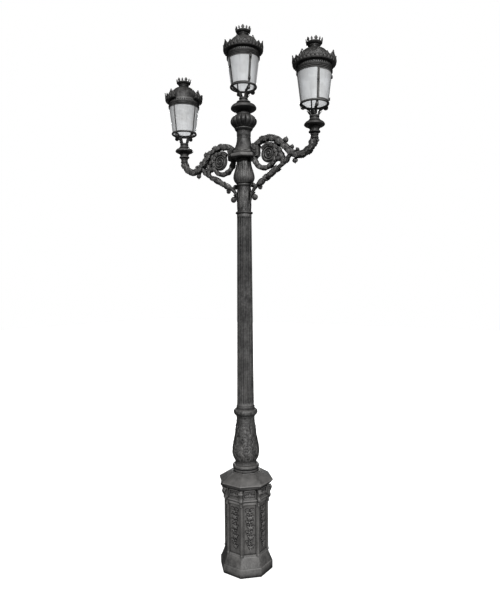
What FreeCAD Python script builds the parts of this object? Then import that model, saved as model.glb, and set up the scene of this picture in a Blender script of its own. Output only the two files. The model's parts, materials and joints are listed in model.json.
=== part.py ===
import FreeCAD, Part
import math
import os
import re

import Sketcher
from FreeCAD import Placement, Rotation, Vector

# A cast-iron lamp post: an eight-sided pedestal with a service door, a turned and fluted column, a hub with two
# scrolled arms, and three glazed lanterns, one on the column and one on each arm.
# The origin is the centre of the pedestal on the ground, +Z is up and the arms lie along X. Millimetres and degrees.

SIZES = {
    # pedestal, whose radii reach to the eight corners
    "plinth_radius": 257, "plinth_height": 82, "plinth_slope_height": 94, "plinth_wall": 16,
    "flange_thickness": 16, "duct_radius": 57, "anchor_circle_radius": 175, "anchor_hole_radius": 11,
    "body_radius": 209, "body_height": 508, "body_wall": 12, "pilaster_radius": 13,
    "panel_width": 112, "panel_recess": 5, "panel_foot": 26, "panel_head": 14,
    "moulding_radius": 225, "moulding_height": 46, "frieze_radius": 208, "frieze_height": 85,
    "eave_foot_radius": 234, "eave_radius": 264, "eave_height": 46, "cap_slope_height": 77,
    "cap_top_radius": 136, "cap_wall": 12,
    "console_depth": 40, "console_width": 34, "console_drop_radius": 11,
    "chain_length": 400, "chain_stem_width": 12, "chain_relief": 7, "chain_flower_radius": 24,
    "chain_bud_radius": 15, "frieze_leaf_radius": 17, "frieze_relief": 7,
    # service door at the back
    "door_width": 100, "door_height": 404, "door_foot": 34, "door_thickness": 8, "door_gap": 1.5,
    "door_pin_radius": 4, "door_barrel_radius": 8, "door_barrel_length": 30, "door_hinge_inset": 70,
    "pin_clearance": 0.05, "barrel_gap": 0.4, "lock_radius": 9, "lock_clearance": 0.06,
    "lock_tongue_length": 34, "lock_tongue_thickness": 5, "lock_inset": 13,
    "lock_tongue_gap": 5.5,
    # fuse board inside the pedestal
    "board_width": 110, "board_height": 260, "board_depth": 45, "board_foot": 260, "bracket_width": 30,
    # column, from the pedestal up
    "base_bore": 86, "baluster_bore": 72, "collar_bore": 64, "column_bore": 54,
    "step_radius": 123, "step_height": 22, "base_torus_radius": 127, "base_torus_height": 40,
    "base_neck_radius": 101, "base_neck_height": 24,
    "baluster_foot_radius": 101, "baluster_belly_radius": 128, "baluster_belly_level": 92,
    "baluster_waist_radius": 104, "baluster_waist_level": 249, "baluster_head_radius": 87,
    "baluster_head_level": 380, "baluster_height": 444,
    "collar_foot_radius": 96, "collar_radius": 115, "collar_torus_height": 56, "collar_ring_radius": 89,
    "collar_height": 92,
    "shaft_foot_radius": 81, "shaft_head_radius": 69, "shaft_height": 1838, "flute_count": 20,
    "flute_radius": 9, "flute_depth": 3, "flute_margin": 36,
    "necking_radius": 82, "necking_height": 24, "neck_radius": 64, "neck_height": 240, "neck_ring_radius": 73,
    "neck_ring_height": 28,
    "vase_foot_radius": 74, "vase_belly_radius": 98, "vase_belly_level": 58, "vase_head_radius": 66,
    "vase_head_level": 200, "vase_height": 235,
    "hub_radius": 148, "hub_height": 66, "root_length": 92, "root_width": 64, "root_height": 122,
    "root_start": 96, "root_drop": 6,
    "bell_foot_radius": 106, "bell_neck_radius": 64, "bell_cone_height": 118, "bell_neck_height": 66,
    "bell_lip_radius": 85, "bell_lip_height": 40,
    "bulb_foot_radius": 87, "bulb_radius": 125, "bulb_belly_level": 62, "bulb_head_radius": 66,
    "bulb_height": 130, "gadroon_count": 16, "gadroon_radius": 9, "gadroon_depth": 5,
    "centre_stem_radius": 58, "centre_rim_level": 56, "centre_rim_radius": 122, "centre_rim_thickness": 6,
    "centre_shoulder_radius": 66, "centre_shoulder_level": 112, "centre_saucer_height": 131,
    # arms
    "arm_reach": 755, "branch_start": 122, "branch_rise": 26, "branch_angle": 45, "branch_arch_radius": 206,
    "branch_straight": 140, "branch_radius": 29, "elbow_radius": 32, "branch_top_level": 16.5,
    "scroll_centre": 245, "scroll_drop": 61, "scroll_radius": 122, "scroll_tube_radius": 24,
    "scroll_pitch": 22.5, "scroll_taper": 4, "rosette_radius": 40, "rosette_thickness": 44,
    "brace_radius": 20, "brace_foot_drop": 398, "brace_foot_reach": 94, "brace_swell_radius": 31,
    "brace_ring_radius": 28, "foot_curl_radius": 27, "foot_ball_radius": 22, "foot_lobe_radius": 30,
    "crocket_radius": 21, "leaf_width": 40,
    "cup_radius": 52, "cup_height": 60, "side_rim_radius": 91, "side_rim_level": 71, "side_rim_thickness": 6,
    "side_shoulder_radius": 46, "side_shoulder_level": 118, "side_saucer_height": 127,
    # lanterns, whose heights count from the seat of the foot
    "left_turn": 180, "centre_turn": -27, "right_turn": 40,
    "foot_height": 121, "foot_neck_radius": 37, "foot_neck_height": 14, "foot_collar_radius": 43,
    "foot_collar_height": 18, "foot_bracket_radius": 6, "foot_volute_radius": 14, "foot_volute_width": 14,
    "foot_bore": 14,
    "ring_radius": 120, "ring_height": 14, "ring_width": 14, "glass_foot_radius": 118, "glass_head_radius": 150,
    "glass_height": 255, "glass_thickness": 3, "rib_width": 10, "rib_proud": 5, "rib_depth": 11,
    "band_moulding_radius": 161, "band_moulding_height": 32, "band_radius": 156, "band_height": 38,
    "band_wall": 8, "slot_count": 54, "slot_width": 7, "slot_height": 18, "slot_foot": 10,
    "gallery_foot_radius": 158, "gallery_flare_radius": 188, "gallery_foot_rise": 30,
    "gallery_flare_height": 30, "gallery_soffit_height": 7, "gallery_wall": 5, "fleuron_height": 60,
    "fleuron_width": 62, "fleuron_lean": 9, "lesser_height": 34, "lesser_width": 54,
    "roof_foot_radius": 156, "roof_shoulder_radius": 126, "roof_shoulder_level": 88, "roof_neck_radius": 46,
    "roof_neck_level": 142, "roof_height": 162, "roof_wall": 4, "crown_foot_radius": 49,
    "crown_flare_radius": 68, "crown_flare_level": 22, "crown_height": 69, "crown_wall": 4,
    "crown_count": 12, "crown_tip_radius": 78, "crown_point_width": 26,
    "holder_radius": 22, "holder_length": 66, "tray_radius": 118, "tray_thickness": 3, "lamp_radius": 38,
    "lamp_neck_radius": 14, "lamp_length": 128,
    # lantern doors and their turn buttons
    "pane_gap": 1, "rail_gap": 2.5, "stile_width": 9, "leaf_thickness": 8, "hinge_offset": 11,
    "hinge_pin_radius": 2.5, "hinge_barrel_radius": 5.5, "hinge_barrel_length": 14, "hinge_low_level": 34,
    "hinge_high_level": 226, "hinge_lug_length": 8, "button_level": 160, "button_length": 24,
    "button_width": 8, "button_thickness": 4, "button_stem_radius": 3, "button_gap": 0.5,
}

DOC = FreeCAD.newDocument("lamp_post")
SHEET = DOC.addObject("Spreadsheet::Sheet", "sizes")
for row, (word, number) in enumerate(SIZES.items(), start=1):
    SHEET.set(f"A{row}", word)
    SHEET.set(f"B{row}", str(number))
    SHEET.setAlias(f"B{row}", word)
DOC.recompute()

UP = Vector(0, 0, 1)
FACES = 8
FACE_TURN = 360 / FACES
DOOR_FACE = 2
NODES = {}


# Sizes, bindings and places

def in_sheet(expression):
    """The expression with each size's word pointed at its cell."""
    return re.sub(r"[a-z][a-z_]*", lambda m: f"sizes.{m.group()}" if m.group() in SIZES else m.group(),
                  str(expression))


def size(expression):
    """The number that an expression of sizes stands for."""
    return float(SHEET.evalExpression(in_sheet(expression)))


def bind(thing, **properties):
    """Ties properties of an object to the sheet."""
    for name, expression in properties.items():
        thing.setExpression(name, in_sheet(expression))
    return thing


def place(thing, x="0", y="0", z="0", turn=None):
    """Ties an object's place to the sheet, with an optional turn about the vertical."""
    for axis, expression in (("x", x), ("y", y), ("z", z)):
        if expression != "0":
            thing.setExpression(f"Placement.Base.{axis}", in_sheet(expression))
    if turn is not None:
        thing.setExpression("Placement.Rotation.Angle", in_sheet(turn))
    return thing


def node(thing, name):
    """Names a finished piece."""
    thing.Label = name
    NODES[name] = thing
    return thing


def total(*expressions):
    """The sum of expressions, as one expression."""
    return "(" + " + ".join(str(e) for e in expressions) + ")"


def origin_plane(body, role):
    """One of a body's own origin planes."""
    return next(f for f in body.Origin.OriginFeatures if f.Role == role)


# Sketches

def pin(sketch, edge, end, x, z):
    """Ties one point of a sketch to its coordinates."""
    for kind, axis, expression in (("DistanceX", -2, x), ("DistanceY", -1, z)):
        if str(expression) == "0":
            sketch.addConstraint(Sketcher.Constraint("PointOnObject", edge, end, axis))
            continue
        made = sketch.addConstraint(Sketcher.Constraint(kind, -1, 1, edge, end, size(expression)))
        sketch.setExpression(f"Constraints[{made}]", in_sheet(expression))


def draw(sketch, outline):
    """Draws a closed outline. A step is (x, z), or (x, z, middle x, middle z) where an arc ends there."""
    points = [Vector(size(step[0]), size(step[1]), 0) for step in outline]
    edges, ends = [], []
    for index, step in enumerate(outline):
        start, end = points[index - 1], points[index]
        ends.append((1, 2))
        if len(step) == 2:
            edges.append(Part.LineSegment(start, end))
            continue
        middle = Vector(size(step[2]), size(step[3]), 0)
        if (middle - start).cross(end - middle).z < 0:
            start, end = end, start
            ends[-1] = (2, 1)
        edges.append(Part.Arc(start, middle, end))
    sketch.addGeometry(edges, False)
    for index, step in enumerate(outline):
        following = (index + 1) % len(outline)
        pin(sketch, index, ends[index][1], step[0], step[1])
        sketch.addConstraint(Sketcher.Constraint("Coincident", index, ends[index][1],
                                                 following, ends[following][0]))
    for index, step in enumerate(outline):
        if len(step) == 4:
            middle = sketch.addGeometry(Part.Point(Vector(size(step[2]), size(step[3]), 0)), True)
            pin(sketch, middle, 1, step[2], step[3])
            sketch.addConstraint(Sketcher.Constraint("PointOnObject", middle, 1, index))


def profile(body, name, outline):
    """A sketch of an outline in the upright plane of the arms."""
    sketch = body.newObject("Sketcher::SketchObject", name)
    sketch.AttachmentSupport = (origin_plane(body, "XZ_Plane"), [""])
    sketch.MapMode = "FlatFace"
    draw(sketch, outline)
    return sketch


def revolve(body, name, outline):
    """Turns an outline about the body's upright axis."""
    sketch = profile(body, f"{name}_outline", outline)
    turned_solid = body.newObject("PartDesign::Revolution", name)
    turned_solid.Profile = sketch
    turned_solid.ReferenceAxis = (sketch, ["V_Axis"])
    turned_solid.Angle = 360
    return sketch


def pad_upright(body, name, outline, width):
    """Pads an outline of the upright plane to both sides."""
    sketch = profile(body, f"{name}_outline", outline)
    pad = body.newObject("PartDesign::Pad", name)
    pad.Profile = sketch
    pad.SideType = "Symmetric"
    bind(pad, Length=width)
    return pad


def pattern(body, sketch, name, original, count):
    """Repeats a feature round the body's upright axis."""
    around = body.newObject("PartDesign::PolarPattern", name)
    around.Originals = [original]
    around.Axis = (sketch, ["V_Axis"])
    around.Angle = 360
    bind(around, Occurrences=count)
    body.Tip = around
    return around


def turned(name, outline, level, x="0"):
    """A turned piece of the column, standing on its level."""
    body = DOC.addObject("PartDesign::Body", name)
    sketch = revolve(body, f"{name}_turned", outline)
    place(body, x=x, z=level)
    node(body, name)
    return body, sketch


# Primitives and booleans

def primitive(kind, name, **sizes_of_it):
    """A Part primitive with its sizes tied to the sheet."""
    return bind(DOC.addObject(f"Part::{kind}", name), **sizes_of_it)


def fused(name, shapes):
    """One solid out of several."""
    joined = DOC.addObject("Part::MultiFuse", name)
    joined.Shapes = shapes
    return joined


def grouped(name, shapes):
    """Several solids as one piece group."""
    together = DOC.addObject("Part::Compound", name)
    together.Links = shapes
    return together


def cut(name, base, tool):
    """One shape less another."""
    left = DOC.addObject("Part::Cut", name)
    left.Base = base
    left.Tool = tool
    return left


def common(name, base, tool):
    """What two shapes share."""
    shared = DOC.addObject("Part::Common", name)
    shared.Base = base
    shared.Tool = tool
    return shared


def free_form(name, shape, x="0", y="0", z="0", turn=None):
    """A piece whose shape is worked out here from the sheet's sizes."""
    piece = DOC.addObject("Part::Feature", name)
    piece.Shape = shape
    return place(piece, x, y, z, turn)


def octagonal(name, rings):
    """A solid through octagons, each a corner radius and a level, with flats towards X and Y."""
    sections = []
    for index, (radius, level) in enumerate(rings):
        section = primitive("RegularPolygon", f"{name}_ring_{index}", Circumradius=radius)
        section.Polygon = FACES
        section.Placement = Placement(Vector(), Rotation(UP, FACE_TURN / 2))
        place(section, z=level)
        sections.append(section)
    loft = DOC.addObject("Part::Loft", name)
    loft.Sections = sections
    loft.Solid = True
    loft.Ruled = True
    return loft


def apothem(radius):
    """The distance from the middle to a flat of an octagon with that corner radius."""
    return f"(({radius}) * cos({FACE_TURN / 2}))"


def face_box(name, face, near, side, foot, depth, width, height):
    """A box on one face of the pedestal: near is its distance from the middle, side its first edge along the face."""
    angle = FACE_TURN * face
    box = primitive("Box", name, Length=depth, Width=width, Height=height)
    box.Placement = Placement(Vector(), Rotation(UP, angle))
    place(box, f"({near}) * cos({angle}) - ({side}) * sin({angle})",
          f"({near}) * sin({angle}) + ({side}) * cos({angle})", foot)
    return box


def around(shape, count, start=0.0):
    """Copies of a shape, evenly round the upright axis."""
    copies = []
    for index in range(count):
        copy = shape.copy()
        copy.rotate(Vector(), UP, start + index * 360 / count)
        copies.append(copy)
    return copies


# Plane curves and tubes of the ironwork, in the upright plane

def upright(x, z):
    """A point of the upright plane."""
    return Vector(x, 0, z)


def trail(start, heading, moves):
    """A path of tangent arcs and straights. A move is (radius, turn in degrees) or a straight's length."""
    point, angle, edges = start, math.radians(heading), []
    for move in moves:
        ahead = upright(math.cos(angle), math.sin(angle))
        if not isinstance(move, tuple):
            end = point + ahead * move
            edges.append(Part.LineSegment(point, end).toShape())
            point = end
            continue
        radius, turn = move
        side = math.copysign(1, turn)
        centre = point + upright(-math.sin(angle), math.cos(angle)) * radius * side

        def on_arc(share):
            swung = angle + math.radians(turn) * share
            return centre + upright(math.sin(swung), -math.cos(swung)) * radius * side

        end = on_arc(1)
        edges.append(Part.Arc(point, on_arc(0.5), end).toShape())
        point, angle = end, angle + math.radians(turn)
    return Part.Wire(edges), point, math.degrees(angle)


def tube(wire, radius):
    """A round bar along a path of the upright plane."""
    start = wire.OrderedVertexes[0].Point
    first = wire.OrderedEdges[0]
    ahead = first.tangentAt(first.FirstParameter)
    if (first.valueAt(first.FirstParameter) - start).Length > 1e-6:
        ahead = first.tangentAt(first.LastParameter).negative()
    ring = Part.Wire(Part.makeCircle(radius, start, ahead))
    return wire.makePipeShell([ring], True, False)


def ball(centre, radius):
    """A ball with its seam upright."""
    return Part.makeSphere(radius, centre)


def disc(centre, radius, thickness):
    """A round boss across the upright plane, its edges rounded."""
    boss = Part.makeCylinder(radius, thickness, centre - Vector(0, thickness / 2, 0), Vector(0, 1, 0))
    return boss.makeFillet(min(radius, thickness) * 0.3, [e for e in boss.Edges if len(e.Vertexes) == 1
                                                          and isinstance(e.Curve, Part.Circle)])


def spindle(start, end, radius, tip):
    """A swelling along a straight bar."""
    along = end - start
    length = along.Length
    arc = Part.Arc(Vector(tip, 0, 0), Vector(radius, 0, length / 2), Vector(tip, 0, length)).toShape()
    sides = Part.makePolygon([Vector(tip, 0, length), Vector(0, 0, length), Vector(0, 0, 0), Vector(tip, 0, 0)])
    solid = Part.Face(Part.Wire([arc] + sides.Edges)).revolve(Vector(), UP, 360)
    solid.Placement = Placement(start, Rotation(UP, along))
    return solid


def joined(shapes):
    """Several overlapping shapes as one clean solid."""
    return shapes[0].fuse(shapes[1:]).removeSplitter()


# Levels of the stack, each tied to what stands below it
PLINTH_TOP = total("plinth_height", "plinth_slope_height")
BODY_TOP = total(PLINTH_TOP, "body_height")
MOULDING_TOP = total(BODY_TOP, "moulding_height")
FRIEZE_TOP = total(MOULDING_TOP, "frieze_height")
EAVE_TOP = total(FRIEZE_TOP, "eave_height")
CAP_TOP = total(EAVE_TOP, "cap_slope_height")
BASE_RING_TOP = total(CAP_TOP, "step_height", "base_torus_height", "base_neck_height")
BALUSTER_TOP = total(BASE_RING_TOP, "baluster_height")
COLLAR_TOP = total(BALUSTER_TOP, "collar_height")
SHAFT_TOP = total(COLLAR_TOP, "shaft_height")
NECK_TOP = total(SHAFT_TOP, "necking_height", "neck_height", "neck_ring_height")
VASE_TOP = total(NECK_TOP, "vase_height")
HUB_TOP = total(VASE_TOP, "hub_height")
BELL_TOP = total(HUB_TOP, "bell_cone_height", "bell_neck_height", "bell_lip_height")
BULB_TOP = total(BELL_TOP, "bulb_height")
CENTRE_SEAT = total(BULB_TOP, "centre_saucer_height")
GLASS_FOOT = total("foot_height", "ring_height")
GLASS_HEAD = total(GLASS_FOOT, "glass_height")
BAND_TOP = total(GLASS_HEAD, "band_moulding_height", "band_height")


# Pedestal

def anchor_flange():
    """The floor plate inside the plinth, with the duct bore and four anchor holes."""
    inside = f"(plinth_radius - plinth_wall / cos({FACE_TURN / 2}))"
    plate = octagonal("flange_plate", [(inside, "0"), (inside, "flange_thickness")])
    holes = [primitive("Cylinder", "duct_bore", Radius="duct_radius", Height="flange_thickness")]
    for index in range(4):
        angle = 45 + 90 * index
        hole = primitive("Cylinder", f"anchor_hole_{index}", Radius="anchor_hole_radius",
                         Height="flange_thickness")
        place(hole, f"anchor_circle_radius * cos({angle})", f"anchor_circle_radius * sin({angle})")
        holes.append(hole)
    node(cut("flange_drilled", plate, grouped("flange_holes", holes)), "anchor_flange")


def plinth():
    """The hollow foot of the pedestal, upright below and sloping in above."""
    wall = f"plinth_wall / cos({FACE_TURN / 2})"
    outer = octagonal("plinth_outer", [("plinth_radius", "0"), ("plinth_radius", "plinth_height"),
                                       ("body_radius", PLINTH_TOP)])
    inner = octagonal("plinth_inner", [(f"plinth_radius - {wall}", "0"),
                                       (f"plinth_radius - {wall}", "plinth_height"),
                                       (f"body_radius - {wall}", PLINTH_TOP)])
    node(cut("plinth_shell", outer, inner), "plinth")


def door_opening(name, clearance, depth, near):
    """A box over the service door's place, grown by a clearance on its four sides."""
    return face_box(name, DOOR_FACE, near, f"-door_width / 2 - ({clearance})",
                    total(PLINTH_TOP, "door_foot", f"-({clearance})"), depth,
                    f"door_width + 2 * ({clearance})", f"door_height + 2 * ({clearance})")


FACE_REACH = apothem("body_radius")
PANEL_REACH = f"({FACE_REACH} - panel_recess)"
HINGE_REACH = f"({FACE_REACH} + door_barrel_radius)"
HINGE_SIDE = "(door_width / 2 + door_gap + door_barrel_radius)"


def door_barrel_levels():
    """The feet of the service door's two hinge barrels."""
    foot = total(PLINTH_TOP, "door_foot", "door_hinge_inset")
    head = total(PLINTH_TOP, "door_foot", "door_height", "-door_hinge_inset", "-door_barrel_length")
    return foot, head


def pedestal_body():
    """The hollow octagonal body with its recessed panels, corner pilasters, door opening and hinge pins."""
    wall = f"body_wall / cos({FACE_TURN / 2})"
    outer = octagonal("body_outer", [("body_radius", PLINTH_TOP), ("body_radius", BODY_TOP)])
    inner = octagonal("body_inner", [(f"body_radius - {wall}", PLINTH_TOP), (f"body_radius - {wall}", BODY_TOP)])
    shell = cut("body_shell", outer, inner)
    pilasters = []
    for index in range(FACES):
        angle = FACE_TURN * (index + 0.5)
        pilaster = primitive("Cylinder", f"pilaster_{index}", Radius="pilaster_radius", Height="body_height")
        reach = "(body_radius - pilaster_radius / 2)"
        pilasters.append(place(pilaster, f"{reach} * cos({angle})", f"{reach} * sin({angle})", PLINTH_TOP))
    recesses = [face_box(f"panel_recess_{index}", index, PANEL_REACH, "-panel_width / 2",
                         total(PLINTH_TOP, "panel_foot"), "panel_recess + pilaster_radius", "panel_width",
                         "body_height - panel_foot - panel_head") for index in range(FACES)]
    recesses.append(door_opening("body_door_opening", "door_gap", "body_wall * 3",
                                 f"{FACE_REACH} - body_wall * 2"))
    cased = cut("body_panelled", fused("body_with_pilasters", [shell] + pilasters),
                grouped("body_cuts", recesses))
    lugs = []
    for index, foot in enumerate(door_barrel_levels()):
        lug_height = "door_barrel_length / 2"
        lug_foot = total(foot, f"-{lug_height}", "-barrel_gap")
        pin_post = primitive("Cylinder", f"door_pin_{index}", Radius="door_pin_radius",
                             Height=total(lug_height, "barrel_gap", "door_barrel_length"))
        knuckle = primitive("Cylinder", f"door_knuckle_{index}", Radius="door_barrel_radius",
                            Height=lug_height)
        arm = primitive("Box", f"door_lug_{index}", Length="door_barrel_radius",
                        Width="door_barrel_radius + panel_recess + body_wall / 3", Height=lug_height)
        for thing in (pin_post, knuckle):
            place(thing, f"-{HINGE_SIDE}", HINGE_REACH, lug_foot)
        place(arm, f"-{HINGE_SIDE} - door_barrel_radius",
              f"{HINGE_REACH} - door_barrel_radius - panel_recess - body_wall / 3", lug_foot)
        lugs += [pin_post, knuckle, arm]
    node(fused("body_with_hinges", [cased] + lugs), "pedestal_body")


def pedestal_frieze():
    """The stepped moulding and the plain frieze ring above the panels."""
    inner = f"frieze_radius - body_wall / cos({FACE_TURN / 2})"
    outer = octagonal("frieze_outer", [
        ("body_radius", BODY_TOP), ("moulding_radius", total(BODY_TOP, "moulding_height * 0.35")),
        ("moulding_radius", total(BODY_TOP, "moulding_height * 0.6")), ("frieze_radius", MOULDING_TOP),
        ("frieze_radius", FRIEZE_TOP)])
    core = octagonal("frieze_inner", [(inner, BODY_TOP), (inner, FRIEZE_TOP)])
    node(cut("frieze_shell", outer, core), "pedestal_frieze")


def pedestal_cap():
    """The eave and the eight-sided hollow pyramid that carries the column."""
    wall = f"cap_wall / cos({FACE_TURN / 2})"
    outer = octagonal("cap_outer", [("eave_foot_radius", FRIEZE_TOP), ("eave_radius", EAVE_TOP),
                                    ("cap_top_radius", CAP_TOP)])
    inner = octagonal("cap_inner", [(f"frieze_radius - {wall}", FRIEZE_TOP),
                                    (f"frieze_radius - {wall}", total(EAVE_TOP, "-cap_wall")),
                                    ("base_bore * 1.1", total(CAP_TOP, "-cap_wall"))])
    bore = primitive("Cylinder", "cap_bore", Radius="base_bore", Height="cap_wall * 2")
    place(bore, z=total(CAP_TOP, "-cap_wall * 1.5"))
    node(cut("cap_shell", outer, fused("cap_hollow", [inner, bore])), "pedestal_cap")


def corner_consoles():
    """Eight scroll brackets under the eave, one on each corner, each with a drop below it."""
    foot, head = size(total(BODY_TOP, "-34")), size(FRIEZE_TOP)
    back = size("body_radius - console_width / 3")
    front = size("body_radius + console_depth")
    waist = size(BODY_TOP)
    belly = size(total(MOULDING_TOP, "frieze_height * 0.42"))
    neck = size("moulding_radius + 3")
    toe = size("body_radius + pilaster_radius")
    outline = Part.Wire([
        Part.makeLine(upright(back, foot), upright(back, head)),
        Part.makeLine(upright(back, head), upright(size("eave_foot_radius"), head)),
        Part.Arc(upright(size("eave_foot_radius"), head), upright(front, belly),
                 upright(neck, size(total(BODY_TOP, "moulding_height * 0.6")))).toShape(),
        Part.makeLine(upright(neck, size(total(BODY_TOP, "moulding_height * 0.6"))), upright(neck, waist)),
        Part.makeLine(upright(neck, waist), upright(toe, foot)),
        Part.makeLine(upright(toe, foot), upright(back, foot)),
    ])
    width = size("console_width")
    bracket = Part.Face(outline).extrude(Vector(0, width, 0))
    bracket.translate(Vector(0, -width / 2, 0))
    drop = ball(upright(toe - size("console_drop_radius") * 0.6, foot), size("console_drop_radius"))
    consoles = around(joined([bracket, drop]), FACES, FACE_TURN / 2)
    skin = [NODES["pedestal_body"].Shape, NODES["pedestal_frieze"].Shape]
    consoles = [console.cut(skin) for console in consoles]
    node(free_form("corner_brackets", Part.makeCompound(consoles)), "corner_consoles")


def flower_chain():
    """A stem with flowers and buds in turn, on a face towards +X with its back at X = 0 and its foot at Z = 0."""
    length, relief = size("chain_length"), size("chain_relief")
    stem_width = size("chain_stem_width")
    stem = Part.makeBox(relief / 2, stem_width, length, Vector(0, -stem_width / 2, 0))
    count = 9
    pitch = length / (count - 1)
    blooms = []
    for index in range(count):
        radius = size("chain_flower_radius") if index % 2 == 0 else size("chain_bud_radius")
        middle = min(max(index * pitch, radius), length - radius)
        blooms.append(Part.makeCone(radius, radius * 0.7, relief, Vector(0, 0, middle), Vector(1, 0, 0)))
    return joined([stem] + blooms)


def pedestal_ornament():
    """The flower chains on seven panels and the leaf reliefs on the eight frieze faces."""
    pieces = []
    chain_foot = size(total(PLINTH_TOP, "panel_foot")) + size(
        "(body_height - panel_foot - panel_head - chain_length) / 2")
    for face in range(FACES):
        if face == DOOR_FACE:
            continue
        chain = flower_chain()
        chain.translate(Vector(size(PANEL_REACH), 0, chain_foot))
        chain.rotate(Vector(), UP, FACE_TURN * face)
        pieces.append(chain)
    relief, radius = size("frieze_relief"), size("frieze_leaf_radius")
    middle = size(total(MOULDING_TOP, "frieze_height / 2"))
    reach = size(apothem("frieze_radius"))
    leaves = [Part.makeCone(radius, radius * 0.6, relief, Vector(reach, side * radius * 1.3, middle
                                                                 + (1 - abs(side)) * 6), Vector(1, 0, 0))
              for side in (-1, 0, 1)]
    pieces += around(joined(leaves), FACES)
    node(free_form("panel_and_frieze_reliefs", Part.makeCompound(pieces)), "pedestal_ornament")


def access_door():
    """The service door at the back: a plate in the opening, its flower chain and two hinge barrels."""
    plate_near = f"({PANEL_REACH} - door_thickness)"
    plate = door_opening("door_plate", "0", "door_thickness", plate_near)
    lock_hole = primitive("Cylinder", "door_lock_hole", Radius="lock_radius + lock_clearance",
                          Height="door_thickness * 3")
    lock_hole.Placement = Placement(Vector(), Rotation(Vector(-1, 0, 0), 90))
    place(lock_hole, *lock_place(f"{PANEL_REACH} - door_thickness * 2"))
    chain = free_form("door_chain", flower_chain())
    chain.Placement = Placement(Vector(), Rotation(UP, FACE_TURN * DOOR_FACE))
    place(chain, y=PANEL_REACH, z=total(PLINTH_TOP, "panel_foot", "(body_height - panel_foot - panel_head"
                                        " - chain_length) / 2"))
    solids = [cut("door_drilled", plate, lock_hole), chain]
    for index, foot in enumerate(door_barrel_levels()):
        barrel = primitive("Cylinder", f"door_barrel_{index}", Radius="door_barrel_radius",
                           Height="door_barrel_length")
        place(barrel, f"-{HINGE_SIDE}", HINGE_REACH, foot)
        leaf = primitive("Box", f"door_leaf_{index}",
                         Length="door_gap + door_barrel_radius * 2.5", Width="door_barrel_radius * 0.6",
                         Height="door_barrel_length")
        place(leaf, f"-{HINGE_SIDE}", f"{HINGE_REACH} + door_barrel_radius * 0.4", foot)
        web = primitive("Box", f"door_web_{index}", Length="door_barrel_radius * 0.8",
                        Width="door_barrel_radius * 1.8 + panel_recess", Height="door_barrel_length")
        place(web, "-door_width / 2", f"{HINGE_REACH} - door_barrel_radius - panel_recess", foot)
        solids += [barrel, leaf, web]
    bores = [place(primitive("Cylinder", f"door_barrel_bore_{index}", Radius="door_pin_radius + pin_clearance",
                             Height="door_barrel_length"), f"-{HINGE_SIDE}", HINGE_REACH, foot)
             for index, foot in enumerate(door_barrel_levels())]
    door = cut("door_bored", fused("door_solids", solids), grouped("door_barrel_bores", bores))
    node(door, "access_door")


def lock_place(reach):
    """The lock's axis on the door, at a reach along +Y."""
    return ("(door_width / 2 - lock_inset)", reach,
            total(PLINTH_TOP, "door_foot", "door_height / 2"))


def door_lock():
    """The cam lock: a barrel through the door, a key square in front and an upright tongue behind."""
    barrel = primitive("Cylinder", "lock_barrel", Radius="lock_radius", Height="door_thickness + 4")
    head = primitive("Cylinder", "lock_head", Radius="lock_radius + 2.5", Height="3")
    for thing, reach in ((barrel, f"{PANEL_REACH} - door_thickness - 2"), (head, f"{PANEL_REACH} + 0.3")):
        thing.Placement = Placement(Vector(), Rotation(Vector(-1, 0, 0), 90))
        place(thing, *lock_place(reach))
    key = primitive("Box", "lock_key_square", Length="8", Width="7", Height="8")
    x, reach, level = lock_place(f"{PANEL_REACH} + 3")
    place(key, f"{x} - 4", reach, f"{level} - 4")
    tongue = primitive("Box", "lock_tongue", Length="lock_radius * 2", Width="lock_tongue_thickness",
                       Height="lock_tongue_length")
    x, reach, level = lock_place(f"{FACE_REACH} - body_wall - lock_tongue_thickness - lock_tongue_gap")
    place(tongue, f"{x} - lock_radius", reach, f"{level} - lock_radius")
    stem = primitive("Cylinder", "lock_stem", Radius="lock_radius - 3", Height="body_wall + lock_tongue_gap")
    stem.Placement = Placement(Vector(), Rotation(Vector(-1, 0, 0), 90))
    place(stem, *lock_place(f"{PANEL_REACH} - body_wall - lock_tongue_gap - 1"))
    node(fused("lock_solids", [barrel, head, key, stem, tongue]), "door_lock")


def fuse_board():
    """The sealed fuse box on a foot bracket that stands on the anchor flange."""
    box = primitive("Box", "board_case", Length="board_width", Width="board_depth", Height="board_height")
    place(box, "-board_width / 2", "-board_depth / 2 - 60", "board_foot")
    post = primitive("Box", "board_bracket", Length="bracket_width", Width="8",
                     Height="board_foot + board_height - flange_thickness")
    place(post, "-bracket_width / 2", "-board_depth / 2 - 68", "flange_thickness")
    sole = primitive("Box", "board_sole", Length="bracket_width * 2", Width="36", Height="8")
    place(sole, "-bracket_width", "-board_depth / 2 - 90", "flange_thickness")
    node(fused("board_solids", [box, post, sole]), "fuse_board")


# Column

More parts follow.
